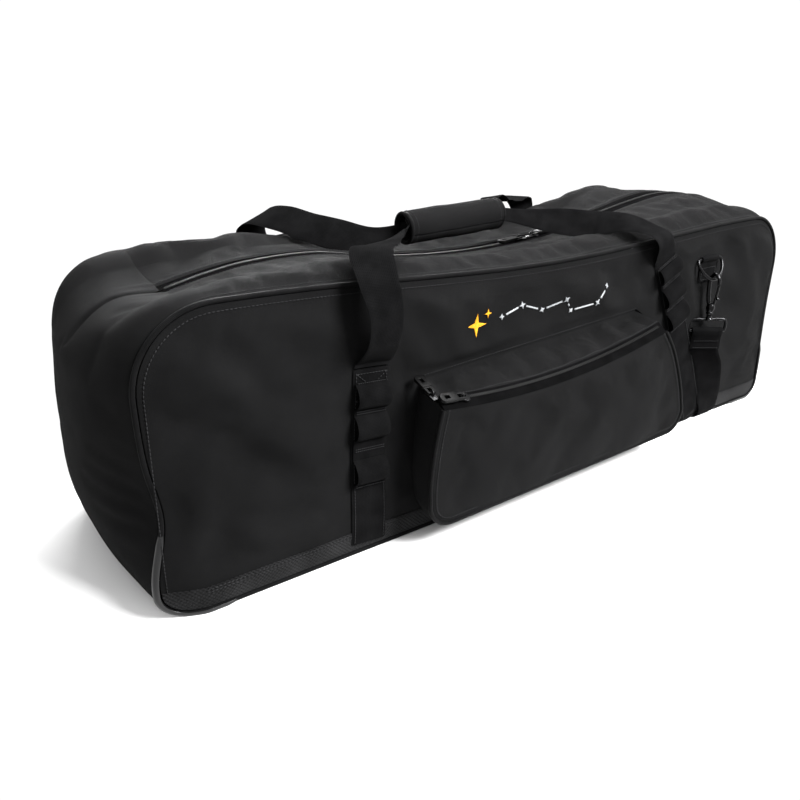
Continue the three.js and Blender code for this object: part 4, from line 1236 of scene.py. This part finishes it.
def add_pocket_gusset():
    """The cord round the pocket's front, and the band from it back to the panel."""
    edge = resample(pocket_loop(0), 240)
    x, z = edge.T
    line = joined(x, POCKET_Y, z)
    put(tube("pocket_piping_cord", line, 2.1, CORD, BACK), "case", "pocket_piping")

    x, z = x[:, None], z[:, None]
    back_x, back_z = at_panel(x, z)
    v = np.linspace(0, 1, 15)[None]
    points = joined(mix(back_x, x, v), mix(-DEEP - 3.0, POCKET_Y + 1.5, v), mix(back_z, z, v))
    out = np.cross(directions(line), BACK)
    dent = -3.0 * np.sin(math.pi * v) * (0.5 + 0.5 * ripples(run_of(line)[:, None], v * 48, 70.0, 103))
    band = sheet("pocket_gusset_band", points + out[:, None] * dent[..., None], (0, 0, -1), CANVAS,
                 thick=1.2)
    put(band, "case", "pocket_gusset")


def pocket_tape(name, x, steps, out, up):
    """Half of the pocket's zip tape: how far its two edges are out from its front and up its zip."""
    x, w = x[:, None], np.linspace(0, 1, steps)[None]
    strip = joined(x, POCKET_Y + mix(*out, w), pocket_zip(x) + mix(*up, w))
    return sheet(name, strip, TAPE_FACING, TAPE, thick=0.8)


def add_pocket_lid(x):
    v = np.linspace(0, 1, 27)[None]
    front = x[:, None]
    back = at_panel(front, 0)[0]
    lx = mix(back, front, v)
    ly = mix(-DEEP - 4.2, POCKET_Y + 11, v)
    free = smooth(v * 6) * smooth((1 - v) * 5)
    free = free * smooth((front - POCKET_LEFT) / 14) * smooth((POCKET_RIGHT - front) / 14)
    waves = 2.0 * ripples(lx, ly * 2, 90.0, 104) + 1.4 * ripples(lx, ly, 34.0, 105)
    lz = mix(lid_seam(back), pocket_zip(front) + 4, v) + free * (waves - 2.5)
    points = drape(joined(lx, ly, lz), 1 - free, 0.3, 0.012, 4.0, LID_FACING)
    for half, cells in (("left", slice(0, LID_SPLIT + 1)), ("right", slice(LID_SPLIT, None))):
        opening = "pocket_lid", *((end, -145, 160) for end in LID_OPENINGS[half])
        lid = sheet(f"pocket_lid_{half}", points[cells], LID_FACING, CANVAS, thick=1.3)
        bend(lid, *opening, "pocket_lid")
        bend(pocket_tape(f"pocket_lid_tape_{half}", x[cells], 5, (11.5, 7.6), (4.4, 1.4)), *opening)
        row = points[cells][:, 24] + np.array([0, -0.1, 0.2])
        sewing = stitch_rows(f"pocket_lid_stitching_{half}", [(row, (0, -0.3, 0.95))], pitch=3.2)
        bend(sewing, *opening)


def add_pocket_coil():
    """The coil as a small block for each turn."""
    x = np.arange(POCKET_LEFT + 6, POCKET_RIGHT - 6, 2.0)
    corners = joined(x, POCKET_Y + 7.4, pocket_zip(x) + 1.4)[:, None] + np.array([
        (-0.6, 1.4, 1.2), (0.6, 1.4, 1.2), (0.6, -1.4, -0.3), (-0.6, -1.4, -0.3),
        (-0.5, 0.9, 2.0), (0.5, 0.9, 2.0), (0.5, -1.2, 0.6), (-0.5, -1.2, 0.6),
    ])
    corners = corners.reshape(-1, 3)
    sides = ((0, 1, 2, 3), (4, 5, 6, 7), (0, 1, 5, 4), (1, 2, 6, 5), (2, 3, 7, 6), (3, 0, 4, 7))
    faces = [[8 * i + k for k in face] for i in range(len(x)) for face in sides]
    put(make("pocket_coil", corners, faces, corners[:, :2], COIL), "case")


def add_pocket():
    add_pocket_front()
    add_pocket_gusset()
    x = np.linspace(POCKET_LEFT + 1, POCKET_RIGHT - 1, 161)
    add_pocket_lid(x)
    put(pocket_tape("pocket_front_tape", x, 6, (7.2, -0.6), (1.0, -4.6)), "case", "pocket_zip_tape")
    add_pocket_coil()

    x, z = pocket_loop(6.5).T
    edge = resample(joined(x, POCKET_Y - 1.4, z), 200)
    x = np.linspace(at_panel(POCKET_LEFT, 0)[0], at_panel(POCKET_RIGHT, 0)[0], 80)
    seam = on_panel(x, lid_seam(x) + 2.4, -1, 0.5)
    put(stitch_rows("pocket_stitching", [(edge, (0, -1, 0)), (seam, (0, -1, 0))]), "case")


# ---------- hardware ----------
def polish(node, finish, width):
    """A CAD piece with its corners rounded over, on the body of its own name."""
    mesh = NODES[node].data.copy()
    mesh.materials.clear()
    mesh.materials.append(finish)
    with reshaped(mesh) as shaper:
        bmesh.ops.remove_doubles(shaper, verts=shaper.verts, dist=0.00002)
        bmesh.ops.dissolve_limit(shaper, angle_limit=math.radians(4), verts=shaper.verts,
                                 edges=shaper.edges)
    piece = new_object(node + "_finished", mesh)
    rounder = piece.modifiers.new("round", "BEVEL")
    rounder.width = width * MM
    rounder.segments = 3
    rounder.limit_method = "ANGLE"
    rounder.angle_limit = math.radians(38)
    rounder.use_clamp_overlap = True
    apply_modifier(piece, "round")
    shade_smooth(piece.data, 55)
    put(piece, node, node)


RING_LEAN = 0.464
RING_Y, RING_Z, RING_REACH = -126.5, 224, 27
RING_DOWN = np.array([0, -math.sin(RING_LEAN), -math.cos(RING_LEAN)])
BOW = np.array([RING_X, RING_Y, RING_Z]) + RING_REACH * RING_DOWN  # the ring's lowest point
EYE_BAR = BOW[2] - 66
STRAP_TURN = -0.618
# the eye's bar and the strap's width turn away from the panel by this much
ACROSS = np.array([math.cos(STRAP_TURN), math.sin(STRAP_TURN), 0])
OUTWARD = np.array([math.sin(STRAP_TURN), -math.cos(STRAP_TURN), 0])


def place(label, points):
    """Points at the front ring, or turned half round the vertical to the rear one."""
    return points if label == "front" else points * np.array([-1, -1, 1])


def hanging(label, offsets, steps):
    """A line across the hook's side, from depths and heights measured from the ring's bow."""
    y, z = line_through(offsets, steps).T
    return place(label, BOW + joined(0, y, z))


def lathe(name, profile, finish, centre):
    """A turned piece: profile is radius and height, up the vertical through centre."""
    profile = np.array(profile, float)
    turn = np.linspace(0, 2 * math.pi, 28, endpoint=False)
    radius, height = profile[:, :1], profile[:, 1:]
    rings = joined(centre[0] + radius * np.cos(turn), centre[1] + radius * np.sin(turn), height)
    return loft(name, rings, finish, every_pair(profile[:, 1], turn))


def join(name, pieces):
    """Several meshes as one piece."""
    with bpy.context.temp_override(active_object=pieces[0], selected_editable_objects=pieces):
        bpy.ops.object.join()
    pieces[0].name = name
    pieces[0].data.name = name
    return pieces[0]


RING_TAB = (  # the height and depth of the webbing that folds round the ring's bar
    (196, -122.4), (213, -122.5), (220, -122.9), (226, -124.4), (227.3, -127), (225.6, -129.6),
    (222.4, -129), (219.5, -126.4), (215, -124.9), (204, -124.6), (196, -124.6),
)
RING_OUTLINE = (  # half of the D, from the middle of its bar; the other half mirrors it
    (0, 0), (19, 0), (22.8, 1.4), (24, 4.6), (22, 12), (16.5, 19.5), (9, 25), (0, RING_REACH),
)
EYE_OUTLINE = ((0, 0), (19, 0), (21.6, 1), (22.4, 3.4), (22.2, 11), (20, 14.4), (5, 15), (0, 15.2))
COLLAR = ((0.4, 0), (3.4, 0.2), (4.2, 1.4), (4.2, 3), (3.5, 3.8), (4.4, 5), (5.2, 7.5), (5.2, 10.5),
          (4.4, 12.6), (3.2, 14.6), (0.4, 15))


def closed_outline(half):
    """A closed line through half an outline and its mirror image, starting on the left."""
    mirrored = [(-x, y) for x, y in half[::-1]]
    return line_through([(-19, 0), *half, *mirrored[1:-1]], 150)[:-1]


def add_ring_tab(label):
    line = line_through([(RING_X, y - 1.9 * smooth((222 - z) / 8), z) for z, y in RING_TAB], 110)
    webbing = ribbon(f"{label}_ring_tab_webbing", place(label, line), np.tile((1.0, 0, 0), (111, 1)),
                     width=33, thick=1.2, soft=0.1)
    put(webbing, "case", f"{label}_ring_tab")
    x = np.linspace(RING_X - 14, RING_X + 14, 12)
    z = np.linspace(198.5, 213, 8)
    rows = [joined(x, -127.5, height) for height in (213, 198.5)]
    rows += [joined(edge, -127.5, z) for edge in (RING_X - 14, RING_X + 14)]
    facing = place(label, np.array([0, -1, 0]))
    rows = [(place(label, row), facing) for row in rows]
    put(stitch_rows(f"{label}_ring_tab_stitching", rows, pitch=2.6), "case")


def add_carry_ring(label):
    """The D-ring in its tab, the snap hook with its sprung gate, and the strap's swivel eye."""
    add_ring_tab(label)
    line = closed_outline(RING_OUTLINE)
    ring = np.array([RING_X, RING_Y, RING_Z]) + line[:, :1] * np.array(RIGHT) + line[:, 1:] * RING_DOWN
    facing = (0, math.cos(RING_LEAN), -math.sin(RING_LEAN))
    ring = tube(f"{label}_d_ring", place(label, ring), 1.85, METAL, facing, sides=18, closed=True)
    put(ring, f"{label}_drop", f"{label}_ring")

    spine = hanging(label, [(0, -38), (3.6, -29), (5.8, -14), (5.6, -1), (0.4, 6.6), (-5.4, 2.4),
                            (-6.9, -5)], 90)
    t = np.linspace(0, 1, 91)
    radius = 2.0 + 0.5 * np.sin(math.pi * np.clip(t * 1.6, 0, 1)) - 0.25 * smooth((t - 0.85) / 0.15)
    hook = tube(f"{label}_hook_bar", spine, radius, METAL, RIGHT, sides=18, flat=1.25)
    centre = place(label, BOW)
    collar = lathe(f"{label}_hook_collar", [(r, BOW[2] - 45 + z) for r, z in COLLAR], METAL, centre)
    put(join(f"{label}_snap_hook", [hook, collar]), f"{label}_hook", f"{label}_hook")

    lever = hanging(label, [(-4.2, -30), (-5.6, -20), (-6.6, -12), (-7.1, -6.6)], 40)
    bar = tube(f"{label}_gate_bar", lever, 1.45, METAL, RIGHT, sides=14, flat=1.3)
    thumb = hanging(label, [(-5.2, -24), (-7.6, -23.4), (-9.4, -22.4)], 14)
    radius = np.array([1.3] * 8 + [1.5, 1.9, 2.2, 2.2, 2.0, 1.5, 0.7])
    knob = tube(f"{label}_gate_knob", thumb, radius, METAL, RIGHT, sides=14)
    put(join(f"{label}_sprung_gate", [bar, knob]), f"{label}_gate", f"{label}_gate")

    line = closed_outline(EYE_OUTLINE)
    eye = np.array([BOW[0], BOW[1], EYE_BAR]) + line[:, :1] * ACROSS + line[:, 1:] * np.array(UP)
    loop = tube(f"{label}_eye_loop", place(label, eye), 1.9, METAL, -OUTWARD, sides=16, closed=True)
    top = EYE_BAR + 14
    stem = lathe(f"{label}_eye_stem", [(0.4, top), (4.6, top + 0.2), (5, top + 1.6), (3.4, top + 3),
                                       (3.1, BOW[2] - 46), (0.4, BOW[2] - 45.6)], METAL, centre)
    put(join(f"{label}_swivel_eye", [loop, stem]), f"{label}_drop", f"{label}_eye")


def add_shoulder_strap(label):
    """The strap's end: doubled round the eye's bar, then down the panel and under the foot."""
    def beside(away, z):
        return (BOW[0] + OUTWARD[0] * away, BOW[1] + OUTWARD[1] * away, EYE_BAR + z)

    points = [
        beside(1.5, -24), beside(1.6, -10), beside(3.7, -3), beside(3.9, 1), beside(0, 4.2),
        beside(-3.9, 1), beside(-3.6, -3), beside(-0.9, -10), beside(-0.9, -24),
        (288, -137, 84), (305, -133, 48), (315, -130.4, 22), (318, -128.6, 10), (318, -125.4, 3.6),
        (318, -120.5, 1.2), (318, -116, 1.0), (318, -112, 1.0),
    ]
    sides = [tuple(ACROSS)] * 9 + [(0.88, -0.47, 0), (0.95, -0.3, 0), (0.99, -0.1, 0)] + [RIGHT] * 5
    line = place(label, line_through(points, 220))
    across = place(label, line_through(sides, 220, even=True))
    strap = ribbon(f"shoulder_strap_{label}_webbing", line, across, seed=7)
    start = place(label, np.array([BOW[0], BOW[1], EYE_BAR - 26]))
    end = place(label, np.array([317, -130, 16]))
    bend(strap, "case", start, end, f"shoulder_strap_{label}", parent=f"{label}_drop")
    a = np.linspace(-16, 16, 14)[:, None]
    rows = [(place(label, np.array(beside(3.0, z)) + a * ACROSS), place(label, OUTWARD))
            for z in (-13, -22)]
    put(stitch_rows(f"shoulder_strap_{label}_stitching", rows, pitch=2.4), f"{label}_drop")


def add_under_strap():
    half = [(STRAP_CROSSING, -111.6, 1), (316, -92, 1), (298, -70, 1), (250, -54, 1)]
    widths = [(1, 0, 0), (0.95, 0.31, 0), (0.6, 0.8, 0), (0.23, 0.97, 0)]
    back = [(-x, -y, z) for x, y, z in half][::-1]
    line = line_through([*half, (0, 0, 1), *back], 260)
    across = line_through([*widths, (0.21, 0.98, 0), *widths[::-1]], 260, even=True)
    put(ribbon("shoulder_strap_under", line, across, soft=0.05), "case", "shoulder_strap_base")


# ---------- embroidery ----------
STAR_SPOTS = [(-78, 206), (-48, 213), (-20, 204), (14, 210), (22, 197), (62, 200), (78, 216)]


def embroider(name, outline, finish):
    """A raised satin-stitched shape on the front panel. outline is points in X and Z."""
    outline = np.array(outline, float)
    middle = outline.mean(axis=0)
    levels = ((1.0, 0.15), (0.97, 0.55), (0.86, 0.85), (0.5, 1.0))
    points, faces = [], []
    count = len(outline)
    for scale, lift in levels:
        x, z = (middle + (outline - middle) * scale).T
        points.append(on_panel(x, z, -1, lift + 0.3))
    points = np.concatenate(points)
    for level in range(len(levels) - 1):
        for k in range(count):
            j = (k + 1) % count
            a, b = level * count, (level + 1) * count
            faces.append([a + k, a + j, b + j, b + k])
    faces.append(list(range((len(levels) - 1) * count, len(levels) * count)))
    faces.append(list(range(count))[::-1])
    return make(name, points, faces, points[:, [2, 0]], finish)


def star(x, z, size, slim, tilt=0.0):
    """A star with four points."""
    turn = np.linspace(0, 2 * math.pi, 8, endpoint=False) + math.pi / 2 + tilt
    reach = np.where(np.arange(8) % 2 == 0, size, slim)
    return joined(x + reach * np.cos(turn), z + reach * np.sin(turn))


def add_embroidery():
    """A star and a constellation, in place of any mark."""
    big = [embroider("star_a", star(-112, 203, 12.5, 3.6), AMBER_YARN),
           embroider("star_b", star(-98, 213, 5.0, 1.5), AMBER_YARN)]
    put(join("amber_star_embroidery", big), "case")
    parts = [embroider(f"dot_{i}", star(x, z, 4.4 if i % 2 else 3.4, 1.7, 0.2 * i), GREY_YARN)
             for i, (x, z) in enumerate(STAR_SPOTS)]
    for i, ((x0, z0), (x1, z1)) in enumerate(zip(STAR_SPOTS[:-1], STAR_SPOTS[1:])):
        along = unit(np.array([x1 - x0, z1 - z0], float))
        side = np.array([-along[1], along[0]]) * 0.85
        a, b = np.array([x0, z0]) + along * 6, np.array([x1, z1]) - along * 6
        parts.append(embroider(f"line_{i}", [a - side, b - side, b + side, a + side], GREY_YARN))
    put(join("constellation_embroidery", parts), "case")


# ---------- putting it together ----------
SIDES = (("front", -1), ("rear", 1))
ENDS = (("left", -1), ("right", 1))
for panel_label, panel_side in SIDES:
    add_panel(panel_label, panel_side)
for end_label, end_side in ENDS:
    add_guard(end_side, f"front_{end_label}_guard")
for end_label, end_side in ENDS:
    add_end(end_label, end_side)
for panel_label, panel_side in SIDES:
    add_top(panel_label, panel_side)
add_bottom()
for strap_name in STRAPS:
    add_panel_strap(strap_name)
add_lash_ladder("front_left")
add_lash_ladder("front_right")
for arm_name in ARMS:
    add_arm(arm_name)
add_grip()
add_pocket()
for ring_label in ("front", "rear"):
    add_carry_ring(ring_label)
    add_shoulder_strap(ring_label)
add_under_strap()
add_embroidery()
for zip_node in ("main_{}_left", "main_{}_right", "pocket_{}_front", "pocket_{}_side"):
    polish(zip_node.format("slider"), METAL, 0.6)
    polish(zip_node.format("pull"), MOULDED, 0.7)
for inner_node, inner_finish in (
    ("front_pad", LINING), ("rear_pad", LINING), ("left_end_pad", LINING), ("right_end_pad", LINING),
    ("base_board", LINING), ("handle_core", WEB),
):
    NODES[inner_node].data.materials.clear()
    NODES[inner_node].data.materials.append(inner_finish)
